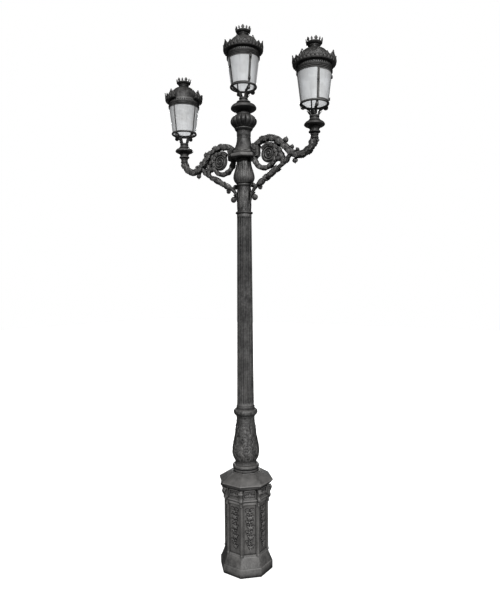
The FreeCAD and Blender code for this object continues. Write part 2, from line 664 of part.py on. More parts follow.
def column():
    """The turned castings from the base ring to the saucer under the centre lantern."""
    torus_top = total("step_height", "base_torus_height")
    turned("base_ring", [
        ("base_bore", "0"), ("step_radius", "0"), ("step_radius", "step_height"),
        ("base_torus_radius - 14", "step_height"),
        ("base_torus_radius - 14", torus_top, "base_torus_radius", "step_height + base_torus_height / 2"),
        ("base_neck_radius", total(torus_top, "base_neck_height"),
         "base_neck_radius + 2", total(torus_top, "base_neck_height * 0.45")),
        ("base_bore", total(torus_top, "base_neck_height"))], CAP_TOP)

    turned("baluster", [
        ("baluster_bore", "0"), ("baluster_foot_radius", "0"),
        ("baluster_belly_radius", "baluster_belly_level",
         "baluster_foot_radius + (baluster_belly_radius - baluster_foot_radius) * 0.62",
         "baluster_belly_level * 0.42"),
        ("baluster_waist_radius", "baluster_waist_level",
         "baluster_waist_radius + (baluster_belly_radius - baluster_waist_radius) * 0.72",
         "baluster_belly_level + (baluster_waist_level - baluster_belly_level) * 0.5"),
        ("baluster_head_radius", "baluster_head_level",
         "baluster_head_radius + (baluster_waist_radius - baluster_head_radius) * 0.42",
         "baluster_waist_level + (baluster_head_level - baluster_waist_level) * 0.5"),
        ("baluster_head_radius", "baluster_height"), ("baluster_bore", "baluster_height")], BASE_RING_TOP)

    turned("lower_collar", [
        ("collar_bore", "0"), ("collar_foot_radius", "0"), ("collar_foot_radius", "6"),
        ("collar_foot_radius", "6 + collar_torus_height", "collar_radius", "6 + collar_torus_height / 2"),
        ("collar_ring_radius - 3", "12 + collar_torus_height"),
        ("collar_ring_radius - 3", "collar_height", "collar_ring_radius + 3",
         "12 + collar_torus_height + (collar_height - 12 - collar_torus_height) / 2"),
        ("collar_bore", "collar_height")], BALUSTER_TOP)

    shaft()

    ring_foot = total("necking_height", "neck_height")
    turned("neck_sleeve", [
        ("column_bore", "0"), ("necking_radius - 8", "0"),
        ("necking_radius - 8", "necking_height", "necking_radius", "necking_height / 2"),
        ("neck_radius + 2", "necking_height + 6"), ("neck_radius", ring_foot),
        ("neck_radius + 4", ring_foot),
        ("neck_ring_radius - 5", total(ring_foot, "neck_ring_height"), "neck_ring_radius",
         total(ring_foot, "neck_ring_height * 0.55")),
        ("column_bore", total(ring_foot, "neck_ring_height"))], SHAFT_TOP)

    turned("leaf_vase", [
        ("column_bore", "0"), ("vase_foot_radius", "0"),
        ("vase_belly_radius", "vase_belly_level",
         "vase_foot_radius + (vase_belly_radius - vase_foot_radius) * 0.76", "vase_belly_level * 0.4"),
        ("vase_head_radius", "vase_head_level",
         "vase_head_radius + (vase_belly_radius - vase_head_radius) * 0.56",
         "vase_belly_level + (vase_head_level - vase_belly_level) * 0.5"),
        ("vase_head_radius", "vase_height"), ("column_bore", "vase_height")], NECK_TOP)

    arm_hub()

    cone, neck_top = "bell_cone_height", total("bell_cone_height", "bell_neck_height")
    turned("bell_cone", [
        ("column_bore", "0"), ("bell_foot_radius", "0"), ("bell_foot_radius", "6"),
        ("bell_neck_radius", cone, "bell_neck_radius + (bell_foot_radius - bell_neck_radius) * 0.36",
         "bell_cone_height * 0.45"),
        ("bell_neck_radius", neck_top),
        ("bell_lip_radius", total(neck_top, "bell_lip_height * 0.7"),
         "bell_neck_radius + (bell_lip_radius - bell_neck_radius) * 0.3",
         total(neck_top, "bell_lip_height * 0.4")),
        ("bell_lip_radius", total(neck_top, "bell_lip_height")),
        ("column_bore", total(neck_top, "bell_lip_height"))], HUB_TOP)

    gadroon_bulb()

    turned("centre_saucer", [
        ("foot_bore", "0"), ("bulb_head_radius", "0"), ("centre_stem_radius", "14"),
        ("centre_stem_radius", "centre_rim_level * 0.6"),
        ("centre_rim_radius", "centre_rim_level", "centre_stem_radius + 22", "centre_rim_level * 0.86"),
        ("centre_rim_radius", "centre_rim_level + centre_rim_thickness"),
        ("centre_shoulder_radius", "centre_shoulder_level",
         "centre_shoulder_radius + (centre_rim_radius - centre_shoulder_radius) * 0.68",
         "centre_rim_level + (centre_shoulder_level - centre_rim_level) * 0.58"),
        ("foot_collar_radius", "centre_saucer_height"), ("foot_bore", "centre_saucer_height")], BULB_TOP)


def shaft():
    """The tapered hollow shaft with its flutes."""
    body, sketch = turned("shaft", [
        ("column_bore", "0"), ("shaft_foot_radius", "0"), ("shaft_head_radius", "shaft_height"),
        ("column_bore", "shaft_height")], COLLAR_TOP)
    lean = "atan((shaft_foot_radius - shaft_head_radius) / shaft_height)"
    flute = body.newObject("PartDesign::SubtractiveCylinder", "flute")
    flute.AttachmentSupport = (origin_plane(body, "XY_Plane"), [""])
    flute.MapMode = "FlatFace"
    flute.AttachmentOffset = Placement(Vector(), Rotation(Vector(0, -1, 0), 0.3))
    bind(flute, Radius="flute_radius", Height="shaft_height - 2 * flute_margin")
    bind(flute, **{
        "AttachmentOffset.Base.x": "shaft_foot_radius - (shaft_foot_radius - shaft_head_radius)"
                                   " * flute_margin / shaft_height - flute_depth + flute_radius",
        "AttachmentOffset.Base.z": "flute_margin", "AttachmentOffset.Rotation.Angle": lean})
    pattern(body, sketch, "flutes", flute, "flute_count")


def arm_hub():
    """The octagonal hub block with the two root blocks that the arms are bolted to."""
    block = octagonal("hub_block", [("hub_radius", VASE_TOP), ("hub_radius", HUB_TOP)])
    roots = []
    for side, start in (("left", "-root_start - root_length"), ("right", "root_start")):
        root = primitive("Box", f"{side}_root", Length="root_length", Width="root_width", Height="root_height")
        roots.append(place(root, start, "-root_width / 2", total(VASE_TOP, "-root_drop")))
    bore = primitive("Cylinder", "hub_bore", Radius="column_bore", Height="hub_height")
    place(bore, z=VASE_TOP)
    bell_space = primitive("Cylinder", "bell_space", Radius="bell_foot_radius", Height="root_height")
    place(bell_space, z=HUB_TOP)
    hub = cut("hub_bored", fused("hub_solids", [block] + roots), fused("hub_cuts", [bore, bell_space]))
    node(hub, "arm_hub")


def gadroon_bulb():
    """The bulb with its upright gadroons, cut between by round grooves that follow the belly."""
    body, sketch = turned("gadroon_bulb", [
        ("column_bore", "0"), ("bulb_foot_radius", "0"),
        ("bulb_radius", "bulb_belly_level", "bulb_foot_radius + (bulb_radius - bulb_foot_radius) * 0.72",
         "bulb_belly_level * 0.4"),
        ("bulb_head_radius + 6", "bulb_height - 8", "bulb_head_radius + (bulb_radius - bulb_head_radius) * 0.76",
         "bulb_belly_level + (bulb_height - bulb_belly_level) * 0.52"),
        ("bulb_head_radius", "bulb_height"), ("column_bore", "bulb_height")], BELL_TOP)
    groove = body.newObject("PartDesign::SubtractiveCylinder", "gadroon_groove")
    groove.AttachmentSupport = (origin_plane(body, "XY_Plane"), [""])
    groove.MapMode = "FlatFace"
    bind(groove, Radius="gadroon_radius", Height="bulb_height * 0.7")
    bind(groove, **{"AttachmentOffset.Base.x": "bulb_radius - gadroon_depth + gadroon_radius",
                    "AttachmentOffset.Base.z": "bulb_height * 0.12"})
    pattern(body, sketch, "gadroons", groove, "gadroon_count")


# Arms. Each shape is made for the right arm in the upright plane and turned half round for the left.

def arm_piece(name, shape, side):
    """One arm's piece, on the right or turned to the left."""
    made = shape.copy()
    if side == "left":
        made.rotate(Vector(), UP, 180)
    node(free_form(f"{side}_{name}_shape", made), f"{side}_{name}")


def branch_path():
    """The arch, the straight and the elbow, which ends upright on the lantern's axis."""
    angle = size("branch_angle")
    start = upright(size("branch_start"), size(HUB_TOP) + size("branch_rise"))
    arch_end = start.x + 2 * size("branch_arch_radius") * math.sin(math.radians(angle))
    straight_end = arch_end + size("branch_straight") * math.cos(math.radians(angle))
    elbow = (size("arm_reach") - straight_end) / (1 + math.sin(math.radians(angle)))
    moves = [(size("branch_arch_radius"), -2 * angle), size("branch_straight"), (elbow, 90 + angle),
             size("branch_top_level")]
    return trail(start, angle, moves)


BRANCH, BRANCH_END, BRANCH_HEADING = branch_path()
SIDE_CUP_FOOT = BRANCH_END.z


def arm_branch():
    """The main branch with a ring at its upright end."""
    bar = tube(BRANCH, size("branch_radius"))
    sleeve = Part.makeCylinder(size("elbow_radius + 6"), 10, BRANCH_END - Vector(0, 0, 42))
    return joined([bar, sleeve])


def arm_scroll():
    """The spiral from the hub's underside, turning in to a rosette, with a web behind its turns."""
    level = size(HUB_TOP) - size("scroll_drop")
    start = upright(size("scroll_centre - scroll_radius"), level)
    shapes = []
    point, heading, radius = start, -90.0, size("scroll_radius")
    thickness = size("scroll_tube_radius")
    inner = None
    while radius > size("rosette_radius"):
        wire, point, heading = trail(point, heading, [(radius, 180)])
        shapes.append(tube(wire, thickness))
        inner = point
        radius -= size("scroll_pitch") * 1.4
        thickness -= size("scroll_taper")
    side = math.copysign(1, math.sin(math.radians(heading)))
    eye = inner + upright(-side * size("rosette_radius") * 0.6, 0)
    shapes.append(disc(eye, size("rosette_radius"), size("rosette_thickness")))
    web_radius = size("scroll_radius - scroll_tube_radius * 1.2")
    web = Part.makeCylinder(web_radius * 0.85, size("scroll_tube_radius") * 0.5,
                            eye - Vector(0, size("scroll_tube_radius") * 0.25, 0), Vector(0, 1, 0))
    shapes.append(web)
    link_end = size("scroll_centre + scroll_radius + 88")
    link = trail(upright(size("scroll_centre + scroll_radius - 12"), level - 52), 0,
                 [link_end - size("scroll_centre + scroll_radius - 12")])[0]
    shapes.append(tube(link, size("scroll_tube_radius - scroll_taper")))
    start_lobe = disc(start + upright(-4, 10), size("scroll_tube_radius") + 6, size("rosette_thickness"))
    return joined(shapes + [start_lobe])


def arm_brace():
    """The lower brace: foot curls, a swollen bar up to the branch, and a bar up to the arch."""
    radius = size("brace_radius")
    foot = upright(size("brace_foot_reach"), size(HUB_TOP) - size("brace_foot_drop"))
    bend = [(150, -35)]
    lower, knee, heading = trail(foot, 65, bend)
    upper, tip, _ = trail(knee, heading, [330, (150, 22), 62])
    bar = [tube(lower, radius), tube(upper, radius)]
    ahead = upright(math.cos(math.radians(heading)), math.sin(math.radians(heading)))
    swell = size("brace_swell_radius")
    first = spindle(knee + ahead * 4, knee + ahead * 92, swell, radius)
    ring = Part.makeCylinder(size("brace_ring_radius"), 14, knee + ahead * 98, ahead)
    second = spindle(knee + ahead * 116, knee + ahead * 256, swell, radius)
    riser = tube(trail(knee + ahead * 318, 88, [(240, 38), 66])[0], radius + 3)
    reach, level = foot.x, foot.z
    curls = [disc(upright(reach + 6, level + 76), size("foot_curl_radius"), 36),
             disc(upright(reach + 92, level + 40), size("foot_curl_radius") - 4, 34),
             ball(upright(reach + 30, level - 44), size("foot_lobe_radius")),
             tube(trail(upright(reach + 20, level + 70), -10, [(70, -30)])[0], radius - 6)]
    stem = tube(trail(upright(reach - 26, level - 100), 80, [110])[0], radius - 4)
    shapes = bar + [first, ring, second, riser] + curls + [stem]
    core = Part.makeCylinder(size("neck_radius"), size(total("neck_height", "neck_ring_height")),
                             Vector(0, 0, size(SHAFT_TOP)))
    return joined(shapes).cut([NODES["neck_sleeve"].Shape, core])


def arm_leaves():
    """Crockets on the branch, the leaf tip below it, its ears, and the rosettes of the root."""
    width = size("leaf_width")
    crocket = size("crocket_radius")
    arch_top = size(HUB_TOP) + size("branch_rise")
    spots = [(upright(462, arch_top + 12), crocket * 1.3), (upright(527, arch_top - 61), crocket),
             (upright(584, arch_top - 94), crocket * 0.9)]
    shapes = [disc(centre, radius, width) for centre, radius in spots]
    tip = disc(upright(560, arch_top - 188), crocket * 1.3, width * 0.8)
    ears = [ball(upright(BRANCH_END.x + offset, BRANCH_END.z - 63), 13) for offset in (-46, 31)]
    roots = [disc(upright(size("root_start + root_length / 2"), arch_top + side), crocket * 1.2,
                  size("root_width") + 10) for side in (14, -62)]
    branch = NODES["right_arm_branch"].Shape
    hub = NODES["arm_hub"].Shape
    carved = [shape.cut([branch, hub]) for shape in shapes + [tip] + ears + roots]
    return Part.makeCompound([solid for shape in carved for solid in shape.Solids])


def arm_saucer(side):
    """The cup on the branch's end and the saucer that carries a side lantern."""
    x = "-arm_reach" if side == "left" else "arm_reach"
    body, _ = turned(f"{side}_arm_saucer", [
        ("foot_bore", "0"), ("branch_radius + 3", "0"), ("cup_radius - 4", "6"),
        ("cup_radius - 6", "22", "cup_radius", "14"), ("cup_radius - 10", "28"),
        ("cup_radius", "cup_height", "cup_radius - 6", "cup_height * 0.72"),
        ("side_rim_radius", "side_rim_level", "side_rim_radius - 16", "side_rim_level - 2"),
        ("side_rim_radius", "side_rim_level + side_rim_thickness"),
        ("side_shoulder_radius", "side_shoulder_level",
         "side_shoulder_radius + (side_rim_radius - side_shoulder_radius) * 0.78",
         "side_rim_level + (side_shoulder_level - side_rim_level) * 0.62"),
        ("foot_collar_radius", "side_saucer_height"), ("foot_bore", "side_saucer_height")],
        str(SIDE_CUP_FOOT), x)
    return body


def arms():
    """Both arms, from the same shapes, each fitted round the pieces that it is joined to."""
    makers = [("arm_branch", arm_branch), ("arm_scroll", arm_scroll), ("arm_brace", arm_brace)]
    fitted = [NODES["arm_hub"].Shape]
    for name, maker in makers:
        shape = max(maker().cut(fitted).Solids, key=lambda solid: solid.Volume)
        fitted.append(shape)
        for side in ("left", "right"):
            arm_piece(name, shape, side)
    leaves = arm_leaves()
    for side in ("left", "right"):
        arm_piece("arm_leaves", leaves, side)
        arm_saucer(side)


# Lanterns

class Lantern:
    """Where one lantern stands and how far it is turned; its hinge rib is along its own +X."""

    def __init__(self, name, x, seat):
        self.name, self.x, self.seat = name, x, seat
        self.turn = f"{name}_turn"

    def title(self, piece):
        """A piece's name on this lantern."""
        return f"{self.name}_{piece}"

    def seated(self, thing, piece):
        """Puts a finished piece in this lantern's place and names it."""
        place(thing, self.x, "0", self.seat, self.turn)
        return node(thing, self.title(piece))


LEAN = "atan((glass_head_radius - glass_foot_radius) / glass_height)"
SLOPE = "((glass_head_radius - glass_foot_radius) / glass_height)"


def glass_radius(rise):
    """The outer radius of the glass at a height above its foot."""
    return f"(glass_foot_radius + {SLOPE} * ({rise}))"


def lantern_foot(lantern):
    """The collar and the four scroll brackets under the ring."""
    neck, collar = size("foot_neck_height"), size("foot_collar_height")
    ring_foot = size("foot_height")
    bore, body_radius = size("foot_bore"), size("foot_neck_radius")
    base = Part.makeCylinder(body_radius, neck + collar)
    flange = Part.makeCylinder(size("foot_collar_radius"), collar * 0.7, Vector(0, 0, neck))
    seat_ring = Part.makeCylinder(size("foot_collar_radius"), 3)
    radius = size("foot_bracket_radius")
    rise = ring_foot - neck - collar
    start = upright(body_radius - radius - 1, neck + collar - 2)
    wire, knee, heading = trail(start, 62, [(rise * 0.9, 24), (rise * 0.55, -66)])
    reach = size("ring_radius") - knee.x
    slope = math.degrees(math.atan2(ring_foot - radius * 0.4 - knee.z, reach))
    upper, _, _ = trail(knee, slope, [math.hypot(reach, ring_foot - radius * 0.4 - knee.z)])
    volute_radius = size("foot_volute_radius")
    volute = disc(upright(size("ring_radius") - volute_radius, ring_foot - volute_radius * 1.1), volute_radius,
                  size("foot_volute_width"))
    bracket = joined([tube(wire, radius), ball(knee, radius * 1.05), tube(upper, radius), volute])
    below_ring = Part.makeBox(600, 600, ring_foot, Vector(-300, -300, 0))
    brackets = [copy.common(below_ring) for copy in around(bracket, 4)]
    solid = joined([base, flange, seat_ring] + brackets)
    solid = solid.cut(Part.makeCylinder(bore, neck + collar))
    lantern.seated(free_form(lantern.title("foot_shape"), solid), "lantern_foot")


def hinge_frame(thing, rise):
    """Stands a primitive on the leaning hinge line, at a height above the glass's foot."""
    thing.Placement = Placement(Vector(), Rotation(Vector(0, 1, 0), 6))
    thing.setExpression("Placement.Rotation.Angle", in_sheet(LEAN))
    return place(thing, f"{glass_radius(rise)} + hinge_offset", "0", total(GLASS_FOOT, rise))


def lantern_frame(lantern):
    """The ring, four ribs and slotted vent band in one casting, with the lugs and pins of the door's hinges."""
    body = DOC.addObject("PartDesign::Body", lantern.title("cage"))
    inner, outer = "ring_radius - ring_width / 2", "ring_radius + ring_width / 2"
    ring = [(f"{inner} + 4", "foot_height", inner, "foot_height + ring_height / 2"),
            (f"{outer} - 4", "foot_height"),
            (f"{outer} - 4", GLASS_FOOT, outer, "foot_height + ring_height / 2"),
            (f"{inner} + 4", GLASS_FOOT)]
    sketch = revolve(body, lantern.title("ring"), ring)
    into = "5"
    foot, head = total(GLASS_FOOT, f"-{into}"), total(GLASS_HEAD, into)
    rib = pad_upright(body, lantern.title("rib"), [
        (f"{glass_radius(f'-{into}')} + rib_proud - rib_depth", foot),
        (f"{glass_radius(f'-{into}')} + rib_proud", foot),
        (f"{glass_radius(f'glass_height + {into}')} + rib_proud", head),
        (f"{glass_radius(f'glass_height + {into}')} + rib_proud - rib_depth", head)], "rib_width")
    pattern(body, sketch, lantern.title("ribs"), rib, "4")
    moulding_top = total(GLASS_HEAD, "band_moulding_height")
    inside = "band_radius - band_wall"
    revolve(body, lantern.title("band"), [
        (inside, GLASS_HEAD), ("band_moulding_radius - 5", GLASS_HEAD),
        ("band_moulding_radius", total(GLASS_HEAD, "band_moulding_height * 0.45"),
         "band_moulding_radius + 1", total(GLASS_HEAD, "band_moulding_height * 0.15")),
        ("band_moulding_radius - 3", total(GLASS_HEAD, "band_moulding_height * 0.8")),
        ("band_moulding_radius", moulding_top), ("band_radius", moulding_top), ("band_radius", BAND_TOP),
        (inside, BAND_TOP)])
    slot = body.newObject("PartDesign::SubtractiveBox", lantern.title("slot"))
    slot.AttachmentSupport = (origin_plane(body, "XY_Plane"), [""])
    slot.MapMode = "FlatFace"
    bind(slot, Length="band_wall * 3", Width="slot_width", Height="slot_height")
    bind(slot, **{"AttachmentOffset.Base.x": f"{inside} - band_wall",
                  "AttachmentOffset.Base.y": "-slot_width / 2",
                  "AttachmentOffset.Base.z": total(moulding_top, "slot_foot")})
    pattern(body, sketch, lantern.title("slots"), slot, "slot_count")
    shapes = [body]
    for word in ("low", "high"):
        rise = total(f"hinge_{word}_level", "-hinge_lug_length", "-barrel_gap")
        lug = primitive("Cylinder", lantern.title(f"{word}_lug"), Radius="hinge_barrel_radius",
                        Height="hinge_lug_length")
        pin_post = primitive("Cylinder", lantern.title(f"{word}_pin"), Radius="hinge_pin_radius",
                             Height="hinge_lug_length + barrel_gap + hinge_barrel_length")
        arm = primitive("Box", lantern.title(f"{word}_lug_arm"), Length="hinge_offset",
                        Width="rib_width", Height="hinge_lug_length")
        shapes += [hinge_frame(lug, rise), hinge_frame(pin_post, rise), hinge_frame(arm, rise)]
        place(arm, f"{glass_radius(rise)}", "-rib_width / 2", total(GLASS_FOOT, rise))
    stem = primitive("Cylinder", lantern.title("button_stem"), Radius="button_stem_radius - button_gap / 5",
                     Height="rib_proud + button_gap + button_thickness")
    stem.Placement = Placement(Vector(), Rotation(Vector(1, 0, 0), 90))
    stem.setExpression("Placement.Rotation.Angle", in_sheet(f"90 deg + {LEAN}"))
    place(stem, "0", f"-{glass_radius('button_level')}", total(GLASS_FOOT, "button_level"))
    lantern.seated(fused(lantern.title("cage_with_lugs"), shapes + [stem]), "lantern_frame")


def cone_shell(lantern, name, outer, inner, foot="0", head="0"):
    """A hollow cone along the glass, from so far in to so far out, and so far from the glass's foot and head."""
    shells = []
    for word, offset in (("outer", outer), ("inner", inner)):
        cone = primitive("Cone", lantern.title(f"{name}_{word}"),
                         Radius1=f"{glass_radius(foot)} + {offset}",
                         Radius2=f"{glass_radius(f'glass_height - ({head})')} + {offset}",
                         Height=f"glass_height - ({foot}) - ({head})")
        shells.append(place(cone, z=total(GLASS_FOOT, foot)))
    return cut(lantern.title(f"{name}_shell"), *shells)


def quarter(lantern, name, turn, clear):
    """A block over one quarter between two ribs, kept clear of the ribs' middles."""
    block = primitive("Box", lantern.title(name), Length="glass_head_radius * 2", Width="glass_head_radius * 2",
                      Height="glass_height * 3")
    block.Placement = Placement(Vector(), Rotation(UP, turn))
    angle = math.radians(turn)
    x_share, y_share = round(math.cos(angle) - math.sin(angle)), round(math.sin(angle) + math.cos(angle))
    return place(block, f"{x_share} * ({clear})", f"{y_share} * ({clear})")


def lantern_glass(lantern):
    """The three fixed curved panes."""
    shell = cone_shell(lantern, "panes", "0", "-glass_thickness")
    panes = [common(lantern.title(f"pane_{turn}"), shell, quarter(lantern, f"pane_quarter_{turn}", turn,
                                                                  "rib_width / 2"))
             for turn in (0, 90, 180)]
    lantern.seated(grouped(lantern.title("panes"), panes), "lantern_glass")


def lantern_door(lantern):
    """The glazed quarter that opens: its frame with two hinge barrels, and its pane."""
    edge = "rib_width / 2 + pane_gap"
    out = "leaf_thickness / 2 - glass_thickness / 2"
    leaf = common(lantern.title("door_leaf_shape"),
                  cone_shell(lantern, "door_leaf", out, f"{out} - leaf_thickness", "rail_gap", "rail_gap"),
                  quarter(lantern, "door_quarter", 270, edge))
    window = common(lantern.title("door_window"),
                    cone_shell(lantern, "door_window", f"{out} + 20", f"{out} - leaf_thickness - 20",
                               "rail_gap + stile_width", "rail_gap + stile_width"),
                    quarter(lantern, "door_window_quarter", 270, f"{edge} + stile_width"))
    solids = [cut(lantern.title("door_frame_shape"), leaf, window)]
    bores = []
    for word in ("low", "high"):
        rise = f"hinge_{word}_level"
        barrel = primitive("Cylinder", lantern.title(f"{word}_barrel"), Radius="hinge_barrel_radius",
                           Height="hinge_barrel_length")
        plate = primitive("Box", lantern.title(f"{word}_leaf"), Length="3",
                          Width="rib_width / 2 + pane_gap + stile_width", Height="hinge_barrel_length")
        link = primitive("Box", lantern.title(f"{word}_leaf_foot"), Length="hinge_offset", Width="stile_width / 2",
                         Height="hinge_barrel_length")
        bore = primitive("Cylinder", lantern.title(f"{word}_bore"), Radius="hinge_pin_radius + pin_clearance",
                         Height="hinge_barrel_length + 4")
        for thing in (barrel, plate, link):
            hinge_frame(thing, rise)
        hinge_frame(bore, f"{rise} - 2")
        level = total(GLASS_FOOT, rise)
        place(plate, f"{glass_radius(rise)} + hinge_offset - 1.5",
              "-rib_width / 2 - pane_gap - stile_width", level)
        place(link, glass_radius(rise), "-rib_width / 2 - pane_gap - stile_width", level)
        solids += [barrel, plate, link]
        bores.append(bore)
    frame = cut(lantern.title("door_bored"), fused(lantern.title("door_solids"), solids),
                grouped(lantern.title("door_bores"), bores))
    lantern.seated(frame, "lantern_door")
    pane_shell = cone_shell(lantern, "door_pane", "0", "-glass_thickness", "rail_gap + stile_width",
                            "rail_gap + stile_width")
    pane = common(lantern.title("door_pane"), pane_shell,
                  quarter(lantern, "door_pane_quarter", 270, f"{edge} + stile_width"))
    lantern.seated(pane, "door_glass")


def lantern_button(lantern):
    """The turn button that holds the door, upright beside it when it is free."""
    plate = primitive("Box", lantern.title("button_plate"), Length="button_width", Width="button_thickness",
                      Height="button_length")
    knob = primitive("Cylinder", lantern.title("button_knob"), Radius="button_width / 2",
                     Height="button_thickness + 5")
    offset = "(rib_proud + button_gap)"
    y = f"(-({glass_radius('button_level')}) - {offset} * cos({LEAN}))"
    z = total(GLASS_FOOT, "button_level", f"-{offset} * sin({LEAN})")
    solid = fused(lantern.title("button_solids"), [plate, knob])
    place(plate, "-button_width / 2", "-button_thickness", "-button_width / 2")
    knob.Placement = Placement(Vector(), Rotation(Vector(1, 0, 0), 90))
    hole = primitive("Cylinder", lantern.title("button_hole"), Radius="button_stem_radius - button_gap / 5"
                     " + pin_clearance", Height="button_thickness")
    hole.Placement = Placement(Vector(), Rotation(Vector(1, 0, 0), 90))
    button = cut(lantern.title("button_bored"), solid, hole)
    leaning = DOC.addObject("Part::Compound", lantern.title("button_leaning"))
    leaning.Links = [button]
    button.Placement = Placement(Vector(), Rotation(Vector(1, 0, 0), 6))
    button.setExpression("Placement.Rotation.Angle", in_sheet(f"{LEAN}"))
    place(button, "0", y, z)
    lantern.seated(leaning, "lantern_button")


def fleuron(width, height, thickness):
    """An upright leaf plate with a waist and a pointed head, its foot at Z = 0 and its back towards -X."""
    half = width / 2
    right = [(half, 0, 0), (half * 0.62, 0, height * 0.22), (half * 0.78, 0, height * 0.48),
             (half * 0.3, 0, height * 0.72), (0, 0, height)]
    points = [Vector(0, y, z) for y, _, z in right]
    mirrored = [Vector(0, -p.y, p.z) for p in reversed(points[:-1])]
    outline = Part.makePolygon(points + mirrored + [points[0]])
    return Part.Face(outline).extrude(Vector(thickness, 0, 0))


def gallery(lantern):
    """The flared gallery of eight fleurons with lesser ones between, in eight segments."""
    wall = size("gallery_wall")
    foot, flare = size("gallery_foot_radius"), size("gallery_flare_radius")
    low = size(total(GLASS_HEAD, "band_moulding_height", "gallery_foot_rise"))
    high = low + size("gallery_flare_height")
    seat = size("band_radius")
    soffit = low + size("gallery_soffit_height")
    section = Part.makePolygon([upright(seat, low), upright(foot, low), upright(flare - wall, soffit),
                                upright(flare, high), upright(flare - wall, high),
                                upright(flare - wall * 2, soffit + wall), upright(seat, low + wall * 2),
                                upright(seat, low)])
    dish = Part.Face(section).revolve(Vector(), UP, 360)
    lean = size("fleuron_lean")

    def standing(width, height, inset):
        leaf = fleuron(width, height + 8, wall * 0.8)
        leaf.rotate(Vector(), Vector(0, 1, 0), lean)
        leaf.translate(upright(flare - wall * 0.95 - inset, high - 8))
        return leaf

    great = around(standing(size("fleuron_width"), size("fleuron_height"), 0), 8)
    lesser = around(standing(size("lesser_width"), size("lesser_height"), 1), 8, 22.5)
    ring = joined([dish] + great + lesser)
    segments = []
    half_joint = 11.25
    for quarter_index in range(4):
        rib_angle = 90.0 * quarter_index
        for start, end in ((rib_angle - half_joint, rib_angle + half_joint),
                           (rib_angle + half_joint, rib_angle + 90 - half_joint)):
            lost = lantern.name == "left" and quarter_index == 1 and end - start > 45
            if lost:
                continue
            segments.append(ring.common(wedge(start, end, low - 10, high + 120)))
    lantern.seated(free_form(lantern.title("gallery_shape"), Part.makeCompound(segments)), "lantern_gallery")


def wedge(start, end, low, high):
    """A wedge about the upright axis between two angles and two levels."""
    reach = size("gallery_flare_radius") * 2
    slice_face = Part.Face(Part.makePolygon([upright(0, low), upright(reach, low), upright(reach, high),
                                             upright(0, high), upright(0, low)]))
    solid = slice_face.revolve(Vector(), UP, end - start)
    solid.rotate(Vector(), UP, start)
    return solid


def lantern_roof(lantern):
    """The domed roof with its neck, standing on the vent band."""
    body = DOC.addObject("PartDesign::Body", lantern.title("dome"))
    outer = [("roof_foot_radius - 30", BAND_TOP), ("roof_foot_radius", BAND_TOP),
             ("roof_foot_radius", total(BAND_TOP, "6")),
             ("roof_shoulder_radius", total(BAND_TOP, "roof_shoulder_level"),
              "roof_shoulder_radius + (roof_foot_radius - roof_shoulder_radius) * 0.66",
              total(BAND_TOP, "roof_shoulder_level * 0.5")),
             ("roof_neck_radius", total(BAND_TOP, "roof_neck_level"),
              "roof_neck_radius + (roof_shoulder_radius - roof_neck_radius) * 0.62",
              total(BAND_TOP, "roof_shoulder_level + (roof_neck_level - roof_shoulder_level) * 0.72")),
             ("roof_neck_radius", total(BAND_TOP, "roof_height")),
             ("foot_bore", total(BAND_TOP, "roof_height")),
             ("foot_bore", total(BAND_TOP, "roof_neck_level - roof_wall")),
             ("roof_neck_radius - roof_wall", total(BAND_TOP, "roof_neck_level - roof_wall")),
             ("roof_shoulder_radius - roof_wall * 1.5", total(BAND_TOP, "roof_shoulder_level - roof_wall * 1.5"),
              "roof_neck_radius + (roof_shoulder_radius - roof_neck_radius) * 0.62 - roof_wall",
              total(BAND_TOP, "roof_shoulder_level + (roof_neck_level - roof_shoulder_level) * 0.72"
                              " - roof_wall * 1.5")),
             ("roof_foot_radius - roof_wall * 3", total(BAND_TOP, "12"),
              "roof_shoulder_radius + (roof_foot_radius - roof_shoulder_radius) * 0.6 - roof_wall * 2",
              total(BAND_TOP, "roof_shoulder_level * 0.5")),
             ("roof_foot_radius - 30", total(BAND_TOP, "12"))]
    revolve(body, lantern.title("roof_turned"), outer)
    lantern.seated(body, "lantern_roof")


def crown(lantern):
    """The coronet on the roof: a flared band with pointed leaves and thin points in turn."""
    wall = size("crown_wall")
    base = size(total(BAND_TOP, "roof_height"))
    foot, flare, level = size("crown_foot_radius"), size("crown_flare_radius"), size("crown_flare_level")
    section = Part.makePolygon([upright(0, base), upright(foot, base), upright(flare, base + level),
                                upright(flare - wall, base + level), upright(foot - wall * 2, base + wall),
                                upright(0, base + wall), upright(0, base)])
    band = Part.Face(section).revolve(Vector(), UP, 360)
    height = size("crown_height") - level
    lean = math.degrees(math.atan2(size("crown_tip_radius - crown_flare_radius"), height))
    count = int(size("crown_count"))
    broad, thin = size("crown_point_width"), size("crown_point_width") / 2

    def point(width, rise):
        half = width / 2
        outline = Part.makePolygon([Vector(0, y, z) for y, z in (
            (half * 0.4, 0), (half * 0.4, rise * 0.3), (half, rise * 0.6), (0, rise), (-half, rise * 0.6),
            (-half * 0.4, rise * 0.3), (-half * 0.4, 0), (half * 0.4, 0))])
        leaf = Part.Face(outline).extrude(Vector(wall * 0.8, 0, 0))
        leaf.rotate(Vector(), Vector(0, 1, 0), lean)
        leaf.translate(upright(flare - wall * 0.95, base + level - 5))
        return leaf

    points = around(point(broad, height + 5), count // 2, 360 / count)
    points += around(point(thin, height - 4), count // 2, 0)
    lantern.seated(free_form(lantern.title("crown_shape"), joined([band] + points)), "lantern_crown")


